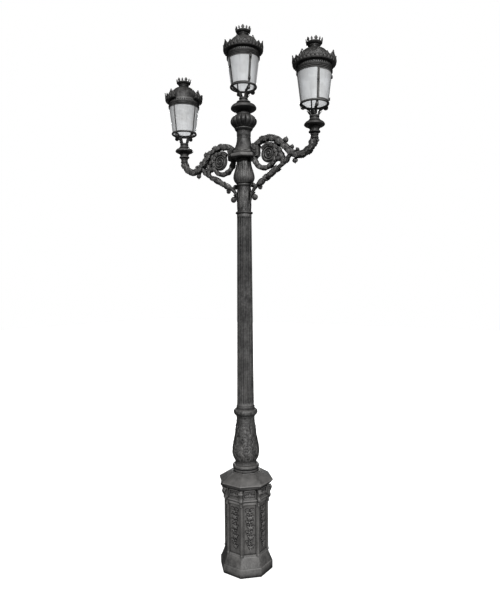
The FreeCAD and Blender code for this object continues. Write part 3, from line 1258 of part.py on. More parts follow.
def lamp_gear(lanterns):
    """The lampholders on their trays under the roofs, and the lamps, one of each in every lantern."""
    holders, lamps = [], []
    for lantern in lanterns:
        ledge = primitive("Cylinder", lantern.title("tray"), Radius="band_radius - band_wall",
                          Height="tray_thickness")
        place(ledge, z=total(BAND_TOP, "-tray_thickness"))
        socket = primitive("Cylinder", lantern.title("socket"), Radius="holder_radius", Height="holder_length")
        place(socket, z=total(BAND_TOP, "-tray_thickness", "-holder_length"))
        holder = fused(lantern.title("tray_and_socket"), [ledge, socket])
        holders.append(place(holder, lantern.x, "0", lantern.seat))
        foot = total(BAND_TOP, "-tray_thickness", "-holder_length", "-lamp_length")
        glass = primitive("Sphere", lantern.title("lamp_glass"), Radius="lamp_radius")
        place(glass, z=total(foot, "lamp_radius"))
        neck = primitive("Cone", lantern.title("lamp_neck"), Radius1="lamp_radius * 0.9",
                         Radius2="lamp_neck_radius", Height="lamp_length - lamp_radius * 1.4")
        place(neck, z=total(foot, "lamp_radius * 1.4"))
        lamps.append(place(fused(lantern.title("lamp"), [glass, neck]), lantern.x, "0", lantern.seat))
    node(grouped("holders", holders), "lampholders")
    node(grouped("lamps", lamps), "lamp_bulbs")


def lanterns():
    """The three lanterns, alike but for their place, their turn and the gallery segment that the left one lacks."""
    side_seat = total(str(SIDE_CUP_FOOT), "side_saucer_height")
    made = [Lantern("left", "-arm_reach", side_seat), Lantern("centre", "0", CENTRE_SEAT),
            Lantern("right", "arm_reach", side_seat)]
    for lantern in made:
        lantern_foot(lantern)
        lantern_frame(lantern)
        lantern_glass(lantern)
        lantern_door(lantern)
        lantern_button(lantern)
        gallery(lantern)
        lantern_roof(lantern)
        crown(lantern)
    lamp_gear(made)


def check_and_write():
    """Stops on any failed object, then writes each piece to its own file."""
    DOC.recompute()
    failed = [o.Name for o in DOC.Objects if {"Invalid", "Error"} & set(o.State)]
    if failed:
        raise RuntimeError(f"failed objects: {failed}")
    for name, piece in NODES.items():
        shape = piece.Shape
        if shape.isNull() or not shape.isValid() or not shape.Solids:
            raise RuntimeError(f"{name} has no valid solid")
    os.makedirs("parts", exist_ok=True)
    for name, piece in NODES.items():
        piece.Shape.exportStep(f"parts/{name}.step")
    print(f"{len(NODES)} pieces written")


anchor_flange()
plinth()
pedestal_body()
pedestal_frieze()
pedestal_cap()
DOC.recompute()
corner_consoles()
pedestal_ornament()
access_door()
door_lock()
fuse_board()
column()
DOC.recompute()
arms()
lanterns()
check_and_write()
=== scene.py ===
"""Looks of a cast-iron lamp post with three glazed lanterns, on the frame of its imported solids.

Sizes are in millimetres and angles in degrees. A mesh is brought to metres when its piece is finished.
"""

import json
import logging
import math
from dataclasses import dataclass
from enum import Enum
from functools import wraps
from typing import Callable, Iterable, Sequence

import bmesh
import bpy
from bmesh.types import BMEdge, BMesh, BMFace, BMVert
from mathutils import Matrix, Vector, noise

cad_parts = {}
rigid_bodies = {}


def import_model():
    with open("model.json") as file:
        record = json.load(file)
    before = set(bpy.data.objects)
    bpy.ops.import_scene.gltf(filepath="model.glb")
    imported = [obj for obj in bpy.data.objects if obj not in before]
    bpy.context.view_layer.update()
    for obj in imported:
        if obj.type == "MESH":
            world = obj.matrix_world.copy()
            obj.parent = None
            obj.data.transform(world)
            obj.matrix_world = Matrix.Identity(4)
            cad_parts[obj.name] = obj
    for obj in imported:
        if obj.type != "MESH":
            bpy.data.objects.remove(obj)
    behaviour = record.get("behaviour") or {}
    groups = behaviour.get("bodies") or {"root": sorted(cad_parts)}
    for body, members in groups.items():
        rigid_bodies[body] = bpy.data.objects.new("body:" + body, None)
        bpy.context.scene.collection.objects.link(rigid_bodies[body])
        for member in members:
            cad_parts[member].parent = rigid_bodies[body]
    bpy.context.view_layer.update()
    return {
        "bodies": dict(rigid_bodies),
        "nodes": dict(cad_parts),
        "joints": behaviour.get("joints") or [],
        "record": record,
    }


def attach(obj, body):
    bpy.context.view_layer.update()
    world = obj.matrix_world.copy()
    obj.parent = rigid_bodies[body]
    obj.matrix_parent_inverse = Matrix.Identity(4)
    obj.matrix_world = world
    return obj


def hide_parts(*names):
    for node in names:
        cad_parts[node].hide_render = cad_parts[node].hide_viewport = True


LOG = logging.getLogger("lamp_post")
MM = 0.001
TAU = 2 * math.pi
POST = "post"

# Distances in millimetres under which points are one, edges are slivers or level, and a point is on the axis.
WELD, SLIVER, LEVEL_EDGE, ON_AXIS = 0.02, 0.01, 1e-6, 1e-6
# How far a rod's rims are rounded.
ROD_RIM = 0.6
# The angle of an octagon's first corner, counted from the middle of a side.
CORNER = 22.5
# Levels where the castings sit on each other, from the ground up.
PLINTH_TOP, BODY_TOP, FRIEZE_TOP, CAP_TOP = 176, 684, 815, 938
BASE_TOP, BALUSTER_TOP, COLLAR_TOP, SHAFT_TOP = 1024, 1468, 1560, 3398
NECK_TOP, VASE_TOP, HUB_TOP, BELL_TOP, BULB_TOP = 3690, 3925, 3991, 4215, 4345
# Where the arms' cups and the lanterns sit.
CUP_FOOT, SIDE_SEAT, CENTRE_SEAT = 4035, 4162, 4476
ARM_REACH = 755
# Bores of the column and of what carries a lantern.
BORE, STEM_BORE = 54, 14
# The angles between which the left lantern has lost its gallery.
LOST_SEGMENT = (101.25, 168.75)


class Slot(str, Enum):
    """The record's material slots."""

    IRON = "iron"
    PANE = "pane_glass"
    LAMP = "lamp_glass"
    GEAR = "gear_steel"
    FLANGE = "flange_steel"
    BOARD = "board_plastic"
    BRASS = "lock_brass"


# Finishes

class Shading:
    """The nodes of one material, or of the surroundings."""

    def __init__(self, name: str, world: bool = False) -> None:
        """Starts an empty material, or world, with its output and object coordinates."""
        self.owner = bpy.data.worlds.new(name) if world else bpy.data.materials.new(name)
        self.owner.use_nodes = True
        self.tree = self.owner.node_tree
        self.tree.nodes.clear()
        self.output = self.add("ShaderNodeOutputWorld" if world else "ShaderNodeOutputMaterial")
        self.place = self.add("ShaderNodeTexCoord").outputs["Object"]

    def add(self, kind: str, settings: dict | None = None, **inputs: object) -> bpy.types.Node:
        """Adds a node.

        Args:
            kind: The node's type.
            settings: Its properties.
            **inputs: Its sockets by name, with spaces as underscores: a constant, or a socket to join.

        Returns:
            The new node.
        """
        made = self.tree.nodes.new(kind)
        for word, value in (settings or {}).items():
            setattr(made, word, value)
        for word, value in inputs.items():
            self.feed(made.inputs[word.replace("_", " ")], value)
        return made

    def feed(self, socket: bpy.types.NodeSocket, value: object) -> None:
        """Joins a socket to another one, or sets its constant."""
        if isinstance(value, bpy.types.NodeSocket):
            self.tree.links.new(value, socket)
        else:
            socket.default_value = value

    def stretched(self, x: float, y: float, z: float) -> bpy.types.NodeSocket:
        """Object coordinates scaled by axis."""
        return self.add("ShaderNodeMapping", Vector=self.place, Scale=(x, y, z)).outputs[0]

    def speckle(self, scale: float, detail: float = 3.0, rough: float = 0.5,
                where: bpy.types.NodeSocket | None = None) -> bpy.types.NodeSocket:
        """Noise of a scale per metre, as a factor."""
        return self.add("ShaderNodeTexNoise", Vector=where or self.place, Scale=scale, Detail=detail,
                        Roughness=rough).outputs[0]

    def span(self, value: bpy.types.NodeSocket, low: float, high: float, start: float = 0.0,
             end: float = 1.0) -> bpy.types.NodeSocket:
        """Maps low..high to start..end, clamped."""
        return self.add("ShaderNodeMapRange", Value=value, From_Min=low, From_Max=high, To_Min=start,
                        To_Max=end).outputs[0]

    def calc(self, kind: str, first: object, second: object) -> bpy.types.NodeSocket:
        """Two values under one of the Math node's operations."""
        made = self.add("ShaderNodeMath", {"operation": kind})
        self.feed(made.inputs[0], first)
        self.feed(made.inputs[1], second)
        return made.outputs[0]

    def times(self, first: object, second: object) -> bpy.types.NodeSocket:
        """The product of two values."""
        return self.calc("MULTIPLY", first, second)

    def plus(self, first: object, second: object) -> bpy.types.NodeSocket:
        """The sum of two values."""
        return self.calc("ADD", first, second)

    def upright(self, vector: bpy.types.NodeSocket) -> bpy.types.NodeSocket:
        """The Z part of a vector."""
        return self.add("ShaderNodeSeparateXYZ", Vector=vector).outputs[2]

    def mixed(self, share: float, first: bpy.types.Node, second: bpy.types.Node) -> bpy.types.Node:
        """A shader between two shaders."""
        made = self.add("ShaderNodeMixShader", Fac=share)
        self.feed(made.inputs[1], first.outputs[0])
        self.feed(made.inputs[2], second.outputs[0])
        return made

    def blend(self, factor: object, first: object, second: object) -> bpy.types.NodeSocket:
        """A colour between two colours."""
        made = self.add("ShaderNodeMix", {"data_type": "RGBA"})
        self.feed(made.inputs[0], factor)
        self.feed(made.inputs[6], first)
        self.feed(made.inputs[7], second)
        return made.outputs[2]

    def bumps(self, *layers: tuple[bpy.types.NodeSocket, float, float]) -> bpy.types.NodeSocket:
        """A normal from layers of height, strength and distance in metres."""
        normal = None
        for height, strength, distance in layers:
            made = self.add("ShaderNodeBump", Height=height, Strength=strength, Distance=distance)
            if normal is not None:
                self.feed(made.inputs["Normal"], normal)
            normal = made.outputs[0]
        return normal

    def openness(self, reach: float) -> bpy.types.NodeSocket:
        """How open a spot is to its surroundings within a reach in metres, from 0 in a crevice to 1."""
        return self.add("ShaderNodeAmbientOcclusion", {"samples": 8}, Distance=reach).outputs["AO"]

    def edgewise(self) -> bpy.types.NodeSocket:
        """Nought where a face is seen squarely, and one where it is seen edgewise."""
        return self.add("ShaderNodeLayerWeight", Blend=0.5).outputs["Facing"]

    def seen(self) -> bpy.types.NodeSocket:
        """One where the camera looks straight at it, and nought elsewhere."""
        return self.add("ShaderNodeLightPath").outputs["Is Camera Ray"]

    def done(self, surface: bpy.types.NodeSocket) -> bpy.types.Material | bpy.types.World:
        """Joins the surface to the output."""
        self.tree.links.new(surface, self.output.inputs["Surface"])
        return self.owner


def grey(value: float, warmth: float = 0.0) -> tuple[float, float, float, float]:
    """A grey with a little warmth."""
    return value * (1 + warmth), value, value * (1 - warmth), 1.0


@dataclass(frozen=True)
class PaintedIron:
    """Charcoal paint on cast iron: mottled and streaked by rain, dusty on upper faces with painted top light there
    too, worn along edges with a painted highlight there, with a painted paler band over the pedestal, and with
    painted shade underneath, in crevices and at grazing edges.
    """

    name: str = "painted_iron"
    dark: float = 0.016
    light: float = 0.094
    # The pale grey of dusty upper faces, which also serves as painted light on upper faces and on the pedestal.
    dust_and_lit_grey: float = 0.115
    # The grey of worn paint on edges, which also serves as a painted highlight there.
    worn: float = 0.20

    def make(self) -> bpy.types.Material:
        """Builds the material."""
        s = Shading(self.name)
        mottle = s.speckle(9, 5, 0.6)
        patch = s.speckle(2.3, 3, 0.5)
        grit = s.speckle(210, 4, 0.6)
        pits = s.speckle(620, 2, 0.5)
        streak = s.speckle(1, 4, 0.6, s.stretched(46, 46, 2.2))
        blotch = s.speckle(48, 4, 0.6)
        tone = s.plus(s.times(mottle, 0.4), s.times(patch, 0.25))
        tone = s.plus(tone, s.times(blotch, 0.35))
        base = s.blend(s.span(tone, 0.41, 0.60), grey(self.dark, 0.01), grey(self.light, 0.015))
        base = s.blend(s.span(streak, 0.52, 0.72, 0.0, 0.45), base, grey(self.light * 1.5, 0.02))
        stain = s.speckle(13, 6, 0.7)
        base = s.blend(s.span(stain, 0.50, 0.64, 0.0, 0.6), base, grey(self.dark * 0.8))
        base = s.blend(s.span(grit, 0.35, 0.7, 0.0, 0.35), base, grey(self.dark * 0.7))
        shape = s.add("ShaderNodeNewGeometry")
        upward = s.upright(shape.outputs["Normal"])
        height = s.upright(s.place)
        # Painted light: the pedestal is painted paler in a band from about 0.24 m to 0.65 m up, fading out by 1.2 m
        # and towards the ground, as though it were better lit.
        foot = s.times(s.span(height, 0.65, 1.2, 0.6, 0.0), s.span(height, 0.10, 0.24, 0.15, 1.0))
        dust_and_lit_grey = grey(self.dust_and_lit_grey, 0.03)
        base = s.blend(s.times(foot, s.span(mottle, 0.25, 0.6, 0.5, 1.0)), base, dust_and_lit_grey)
        # Painted shade on faces that look downwards, darker the more they face down.
        under = s.span(upward, -0.75, -0.1, 0.8, 0.0)
        # Upper faces are made paler: partly dusty paint, partly painted light falling from above.
        dusty_and_lit_tops = s.times(s.span(upward, 0.15, 0.95, 0.0, 0.6), s.span(mottle, 0.3, 0.6, 0.35, 1.0))
        base = s.blend(dusty_and_lit_tops, base, dust_and_lit_grey)
        # Darkens downward faces with painted shade.
        base = s.blend(under, base, grey(self.dark * 0.3))
        # Edges are made paler: partly worn paint, partly a painted highlight on lit edges.
        worn_and_lit_edges = s.times(s.span(shape.outputs["Pointiness"], 0.51, 0.60, 0.0, 0.55),
                       s.span(grit, 0.3, 0.6, 0.4, 1.0))
        base = s.blend(worn_and_lit_edges, base, grey(self.worn, 0.02))
        # Painted shade in crevices, recesses and between parts, by ambient occlusion at two reaches.
        base = s.blend(s.span(s.openness(0.05), 0.42, 0.95, 0.9, 0.0), base, grey(self.dark * 0.2))
        base = s.blend(s.span(s.openness(0.010), 0.50, 0.95, 0.85, 0.0), base, grey(self.dark * 0.1))
        # Painted shade on faces seen edgewise, darkening the outlines.
        base = s.blend(s.span(s.edgewise(), 0.38, 0.95, 0.0, 0.92), base, grey(self.dark * 0.3))
        rough = s.span(s.plus(s.times(mottle, 0.6), s.times(dusty_and_lit_tops, 0.5)), 0.2, 0.9, 0.50, 0.82)
        normal = s.bumps((mottle, 0.10, 0.004), (grit, 0.35, 0.0012), (pits, 0.2, 0.0005))
        shader = s.add("ShaderNodeBsdfPrincipled", Base_Color=base, Roughness=rough, Normal=normal)
        shader.inputs["Specular IOR Level"].default_value = 0.3
        return s.done(shader.outputs[0])


@dataclass(frozen=True)
class FrostedPane:
    """Frosted lantern glass: pale, cloudy and streaked with grime, with a painted glow for light coming through it,
    painted darker towards its edges and in crevices.
    """

    name: str = "frosted_pane"
    clear: float = 0.60
    grime: float = 0.26
    # Strengths of the painted glow on the panes' outer and inner faces, seen by the camera only.
    outside_glow: float = 0.72
    inside_glow: float = 1.15

    def make(self) -> bpy.types.Material:
        """Builds the material."""
        s = Shading(self.name)
        cloud = s.speckle(5.5, 4, 0.55)
        streak = s.speckle(1, 5, 0.6, s.stretched(34, 34, 3))
        frost = s.speckle(900, 2, 0.5)
        base = s.blend(s.span(cloud, 0.35, 0.65), grey(self.clear, -0.01), grey(self.clear * 0.88))
        base = s.blend(s.span(streak, 0.56, 0.8, 0.0, 0.45), base, grey(self.grime, 0.03))
        normal = s.bumps((frost, 0.15, 0.0004), (cloud, 0.15, 0.003))
        # Painted glow: the panes glow for the camera, more on their inner faces, as light through frosted glass
        # would look.
        shape = s.add("ShaderNodeNewGeometry")
        upward = s.upright(shape.outputs["True Normal"])
        painted_glow = s.span(upward, 0.0, 0.06, self.outside_glow, self.inside_glow)
        # Painted shade on the glow: darker where the pane is seen edgewise and in crevices.
        shade = s.times(s.span(s.edgewise(), 0.2, 1.0, 1.0, 0.35),
                        s.span(s.openness(0.06), 0.3, 0.9, 0.55, 1.0))
        sheen = s.add("ShaderNodeBsdfPrincipled", Base_Color=base, Normal=normal, Emission_Color=base,
                      Emission_Strength=s.times(s.times(s.seen(), shade), painted_glow),
                      Roughness=s.span(streak, 0.3, 0.7, 0.28, 0.5))
        through = s.add("ShaderNodeBsdfTranslucent", Color=base)
        glow = s.mixed(0.5, sheen, through)
        see = s.add("ShaderNodeBsdfTransparent", Color=(0.93, 0.94, 0.95, 1.0))
        return s.done(s.mixed(0.36, glow, see).outputs[0])


@dataclass(frozen=True)
class PlainFinish:
    """A metal, plastic or opal glass with grain, stain and fine bumps."""

    name: str
    colour: tuple[float, float, float]
    metallic: float
    rough: float
    stain: float
    grain: float

    def make(self) -> bpy.types.Material:
        """Builds the material."""
        s = Shading(self.name)
        grain = s.speckle(self.grain, 3, 0.6)
        cloud = s.speckle(14, 5, 0.6)
        plain, stained, worn = (
            (*(part * share for part in self.colour), 1.0) for share in (1, self.stain, 0.5))
        base = s.blend(s.span(cloud, 0.35, 0.68), plain, stained)
        base = s.blend(s.span(grain, 0.45, 0.75, 0.0, 0.3), base, worn)
        shader = s.add("ShaderNodeBsdfPrincipled", Base_Color=base, Metallic=self.metallic,
                       Roughness=s.span(cloud, 0.3, 0.7, self.rough, self.rough + 0.22),
                       Normal=s.bumps((grain, 0.2, 0.0004), (cloud, 0.1, 0.002)))
        return s.done(shader.outputs[0])


# Outlines and paths

class Outline:
    """An outline for a turned piece, as radius and level, built up step by step."""

    def __init__(self, radius: float, level: float) -> None:
        """Starts at a point."""
        self.points: list[tuple[float, float]] = [(radius, level)]

    def to(self, *points: tuple[float, float]) -> "Outline":
        """Goes straight to each point."""
        self.points += points
        return self

    def swell(self, radius: float, level: float, bulge: float, steps: int = 8) -> "Outline":
        """Goes to a point in an elliptic arc, outwards by the bulge when it climbs."""
        (r0, z0), dr, dz = self.points[-1], radius - self.points[-1][0], level - self.points[-1][1]
        length = math.hypot(dr, dz)
        for step in range(1, steps + 1):
            turn = math.pi * step / steps
            along, out = (1 - math.cos(turn)) / 2, bulge * math.sin(turn)
            self.points.append((r0 + dr * along + dz / length * out, z0 + dz * along - dr / length * out))
        return self

    def curve(self, points: Sequence[tuple[float, float]], steps: int = 6) -> "Outline":
        """Goes smoothly through the points."""
        whole = [self.points[-1], *points]
        ends = [whole[0], *whole, whole[-1]]
        for index in range(1, len(ends) - 2):
            p0, p1, p2, p3 = (Vector(ends[index + k]) for k in (-1, 0, 1, 2))
            for step in range(1, steps + 1):
                t = step / steps
                point = 0.5 * (2 * p1 + (p2 - p0) * t + (2 * p0 - 5 * p1 + 4 * p2 - p3) * t * t
                               + (3 * p1 - p0 - 3 * p2 + p3) * t ** 3)
                self.points.append((point.x, point.y))
        return self


def radius_of(outline: Sequence[tuple[float, float]]) -> Callable[[float], float]:
    """The outer radius of an outline at a level."""
    def radius(level: float) -> float:
        """Interpolates between the outline's points."""
        best = 0.0
        for (r0, z0), (r1, z1) in zip(outline, outline[1:]):
            if min(z0, z1) <= level <= max(z0, z1) and z0 != z1:
                best = max(best, r0 + (r1 - r0) * (level - z0) / (z1 - z0))
        return best or outline[0][0]
    return radius


def trail(start: Vector, heading: float, moves: Iterable[float | tuple[float, float]],
          step: float = 6.0) -> list[Vector]:
    """A path of tangent arcs and straights in the upright plane.

    Args:
        start: Where it starts.
        heading: Its first direction, counted from +X towards +Z.
        moves: Straight lengths, or arcs as (radius, turn).
        step: The distance between its points.

    Returns:
        The points of the path.
    """
    points, here, angle = [start.copy()], start.copy(), math.radians(heading)
    for move in moves:
        radius, turn = move if isinstance(move, tuple) else (0.0, 0.0)
        length = radius * abs(math.radians(turn)) if radius else float(move)
        count = max(2, round(length / step))
        for _ in range(count):
            angle += math.radians(turn) / count / 2
            here = here + Vector((math.cos(angle), 0, math.sin(angle))) * (length / count)
            angle += math.radians(turn) / count / 2
            points.append(here)
    return points


def spiral(centre: Vector, start: float, end: float, turns: float, angle: float = 0.0,
           step: float = 12.0) -> list[Vector]:
    """Points of a spiral in the upright plane, from one radius to another."""
    count = max(8, round(abs(turns) * 360 / step))
    points = []
    for index in range(count + 1):
        share = index / count
        radius = start + (end - start) * share
        swung = math.radians(angle) + TAU * turns * share
        points.append(centre + Vector((math.cos(swung), 0, math.sin(swung))) * radius)
    return points


def ridge(x: float, y: float, z: float, scale: float) -> float:
    """Ridged noise from 0 to 1, like the raised lines of foliage."""
    return 1 - min(1.0, abs(noise.noise(Vector((x, y, z)) / scale)) * 2.6)


def edges_of(verts: Iterable[BMVert]) -> set[BMEdge]:
    """The edges that meet at some points."""
    return {edge for vert in verts for edge in vert.link_edges}


def faces_of(verts: Iterable[BMVert]) -> set[BMFace]:
    """The faces that meet at some points."""
    return {face for vert in verts for face in vert.link_faces}


def climb(edge: BMEdge) -> float:
    """How far an edge climbs."""
    return abs(edge.verts[0].co.z - edge.verts[1].co.z)


def turn_z(angle: float) -> Matrix:
    """A turn about the upright axis."""
    return Matrix.Rotation(math.radians(angle), 4, "Z")


def at(x: float, y: float, z: float) -> Matrix:
    """A shift."""
    return Matrix.Translation((x, y, z))


def spin_on(axis: str, angle: float) -> Matrix:
    """A turn about an axis."""
    return Matrix.Rotation(math.radians(angle), 4, axis)


def apart(shape: Callable[..., object]) -> Callable[..., list[BMVert]]:
    """Makes a shape in a mesh of its own before it joins the piece, so that a large piece stays quick."""
    @wraps(shape)
    def made_apart(work: "Work", *args: object, **words: object) -> list[BMVert]:
        """Makes the shape and returns its points in the piece."""
        before, whole = work.count(), work.bm
        mesh = work.cast(lambda: shape(work, *args, **words))
        whole.from_mesh(mesh)
        bpy.data.meshes.remove(mesh)
        return work.since(before)
    return made_apart


class Work:
    """One piece in the making: its mesh in millimetres and the operations that shape it."""

    def __init__(self, name: str) -> None:
        """Starts an empty mesh."""
        self.name = name
        self.bm: BMesh = bmesh.new()

    def cast(self, make: Callable[[], object]) -> bpy.types.Mesh:
        """Makes a form on its own.

        Args:
            make: Builds the form.

        Returns:
            The form's mesh.
        """
        whole, self.bm = self.bm, bmesh.new()
        make()
        mesh = bpy.data.meshes.new("form")
        self.bm.to_mesh(mesh)
        self.bm.free()
        self.bm = whole
        return mesh

    def since(self, start: int) -> list[BMVert]:
        """The points added since there were so many."""
        self.bm.verts.ensure_lookup_table()
        return self.bm.verts[start:]

    def count(self) -> int:
        """How many points there are."""
        return len(self.bm.verts)

    def put(self, verts: Sequence[BMVert], matrix: Matrix) -> None:
        """Moves points."""
        bmesh.ops.transform(self.bm, matrix=matrix, verts=list(verts))

    def round_off(self, edges: Iterable[BMEdge], width: float) -> None:
        """Rounds edges."""
        bmesh.ops.bevel(self.bm, geom=list(edges), offset=width, segments=2, profile=0.5, affect="EDGES",
                        material=-1)

    def inset(self, faces: Sequence[BMFace], *steps: tuple[float, float]) -> None:
        """Insets faces step by step, each by a width and a depth."""
        for width, depth in steps:
            bmesh.ops.inset_region(self.bm, faces=faces, thickness=width, depth=depth, use_even_offset=True)

    def eight_sided(self, outline: Sequence[tuple[float, float]]) -> list[BMVert]:
        """An outline made eight-sided, with its corners where the pilasters stand."""
        return self.lathe(outline, 8, phase=CORNER)

    def around(self, number: int, make: Callable[[], None], start: float = 0.0,
               skip: Callable[[float], bool] | None = None) -> None:
        """Makes a form several times, evenly round the upright axis.

        Args:
            number: How many.
            make: Builds one, towards +X.
            start: The angle of the first.
            skip: Says of an angle whether its form is left out.
        """
        form = self.cast(make)
        form.transform(turn_z(start))
        for index in range(number):
            if not (skip and skip((start + index * 360 / number) % 360)):
                self.bm.from_mesh(form)
            form.transform(turn_z(360 / number))
        bpy.data.meshes.remove(form)

    @apart
    def lathe(self, outline: Sequence[tuple[float, float]], steps: int = 96, closed: bool = True,
              phase: float = 0.0, sweep: float = 360.0) -> list[BMVert]:
        """Spins an outline about the upright axis.

        Args:
            outline: Radius and level of each point.
            steps: How many steps a full turn has.
            closed: Whether the outline's last point is joined to its first.
            phase: The angle that it starts at.
            sweep: How far it is spun.

        Returns:
            The new points.
        """
        before = self.count()
        verts = [self.bm.verts.new((radius, 0, level)) for radius, level in outline]
        pairs = list(zip(verts, verts[1:])) + ([(verts[-1], verts[0])] if closed else [])
        edges = [self.bm.edges.new(pair) for pair in pairs]
        full = sweep >= 360
        bmesh.ops.spin(self.bm, geom=verts + edges, cent=(0, 0, 0), axis=(0, 0, 1), dvec=(0, 0, 0),
                       angle=math.radians(sweep), steps=max(2, round(steps * sweep / 360)), use_merge=full)
        made = self.since(before)
        if not full:
            ends = [edge for edge in edges_of(made) if edge.is_boundary]
            bmesh.ops.holes_fill(self.bm, edges=ends, sides=0)
        self.put(made, turn_z(phase))
        return made

    def swell(self, verts: Iterable[BMVert], rise: Callable[[float, float, float], float]) -> None:
        """Moves points outwards from the upright axis by a function of angle, level and radius."""
        for vert in verts:
            radius = math.hypot(vert.co.x, vert.co.y)
            if radius < ON_AXIS:
                continue
            out = rise(math.atan2(vert.co.y, vert.co.x), vert.co.z, radius)
            vert.co.x *= 1 + out / radius
            vert.co.y *= 1 + out / radius

    def wrap(self, verts: Iterable[BMVert], radius: Callable[[float], float]) -> None:
        """Bends a relief modelled on the plane X = 0 round a turned surface."""
        for vert in verts:
            base = radius(vert.co.z)
            swung = vert.co.y / max(base, 1.0)
            reach = base + vert.co.x
            vert.co.x, vert.co.y = reach * math.cos(swung), reach * math.sin(swung)

    @apart
    def bar(self, path: Sequence[Vector], radius: Callable[[float], float] | float, sides: int = 14,
            breadth: float = 1.0, relief: Callable[[float, float], float] | None = None) -> list[BMVert]:
        """Sweeps a round or oval bar along a path of the upright plane.

        Args:
            path: The points that it follows.
            radius: Its radius, or a function of the share of the way along.
            sides: How many sides it has.
            breadth: Its breadth across the plane, over its height.
            relief: What is added to the radius, by share along and angle round.

        Returns:
            The new points.
        """
        size = radius if callable(radius) else (lambda _share: radius)
        side = Vector((0, 1, 0))
        before, last = self.count(), len(path) - 1
        frames = []
        for index, point in enumerate(path):
            ahead = (path[min(index + 1, last)] - path[max(index - 1, 0)]).normalized()
            out = side.cross(ahead).normalized()
            frames.append(Matrix((out, side, ahead)).transposed().to_4x4())
            frames[-1].translation = point

        def placed(index: int, phi: float) -> Vector:
            """A point of the bar's ring at an angle."""
            share = index / last
            reach = max(0.05, size(share) + (relief(share, phi) if relief else 0.0))
            return frames[index] @ Vector((math.cos(phi) * reach, math.sin(phi) * reach * breadth, 0))

        ring = bmesh.ops.create_circle(self.bm, cap_ends=True, segments=sides, radius=1.0)["verts"]
        edges = list(edges_of(ring))
        angles = {vert: math.atan2(vert.co.y, vert.co.x) for vert in ring}
        for vert in ring:
            vert.co = placed(0, angles[vert])
        for index in range(1, last + 1):
            made = bmesh.ops.extrude_edge_only(self.bm, edges=edges)["geom"]
            fresh = [g for g in made if isinstance(g, BMVert)]
            edges = [g for g in made if isinstance(g, BMEdge) and g.verts[0] in fresh and g.verts[1] in fresh]
            old = frames[index - 1].inverted()
            for vert in fresh:
                local = old @ vert.co
                vert.co = placed(index, math.atan2(local.y / breadth, local.x))
        bmesh.ops.edgeloop_fill(self.bm, edges=edges)
        return self.since(before)

    @apart
    def box(self, low: Sequence[float], high: Sequence[float], edge: float = 1.0,
            matrix: Matrix | None = None) -> list[BMVert]:
        """A box with its edges rounded."""
        before = self.count()
        cube = bmesh.ops.create_cube(self.bm, size=1.0)["verts"]
        low, high = Vector(low), Vector(high)
        sides = Matrix.Diagonal((*(high - low), 1.0))
        self.put(cube, at(*((low + high) / 2)) @ sides)
        if edge:
            self.round_off(edges_of(cube), edge)
        made = self.since(before)
        if matrix:
            self.put(made, matrix)
        return made

    @apart
    def rod(self, radius: float, length: float, matrix: Matrix, sides: int = 20,
            top: float | None = None) -> list[BMVert]:
        """A round rod from the origin along +Z, with its rims rounded, put in place."""
        before = self.count()
        end = radius if top is None else top
        cone = bmesh.ops.create_cone(self.bm, cap_ends=True, segments=sides, radius1=radius, radius2=end,
                                     depth=length)["verts"]
        self.put(cone, at(0, 0, length / 2))
        self.round_off((rim for rim in edges_of(cone) if climb(rim) < LEVEL_EDGE), ROD_RIM)
        made = self.since(before)
        self.put(made, matrix)
        return made

    @apart
    def ball(self, radius: float, matrix: Matrix, rings: int = 10, stretch: Sequence[float] = (1, 1, 1),
             lobes: int = 0, depth: float = 0.0) -> list[BMVert]:
        """A ball, stretched and lobed like a bud, put in place."""
        ball = bmesh.ops.create_uvsphere(self.bm, u_segments=max(2 * rings, lobes * 4), v_segments=rings,
                                         radius=radius)["verts"]
        if lobes:
            self.swell(ball, lambda angle, level, reach: -depth * reach * abs(math.cos(lobes * angle / 2)) ** 3)
        self.put(ball, matrix @ Matrix.Diagonal((*stretch, 1.0)))
        return ball

    @apart
    def flower(self, radius: float, matrix: Matrix, petals: int = 6, height: float = 0.42) -> list[BMVert]:
        """An open flower that faces +X."""
        before = self.count()
        for index in range(petals):
            turn = spin_on("X", index * 360 / petals)
            self.ball(1.0, turn @ at(radius * height * 0.35, 0, radius * 0.58) @ spin_on("Y", -18), 5,
                      (radius * height * 0.5, radius * 0.34, radius * 0.44))
        self.ball(radius * 0.27, at(radius * height * 0.62, 0, 0), 5)
        made = self.since(before)
        self.put(made, matrix)
        return made

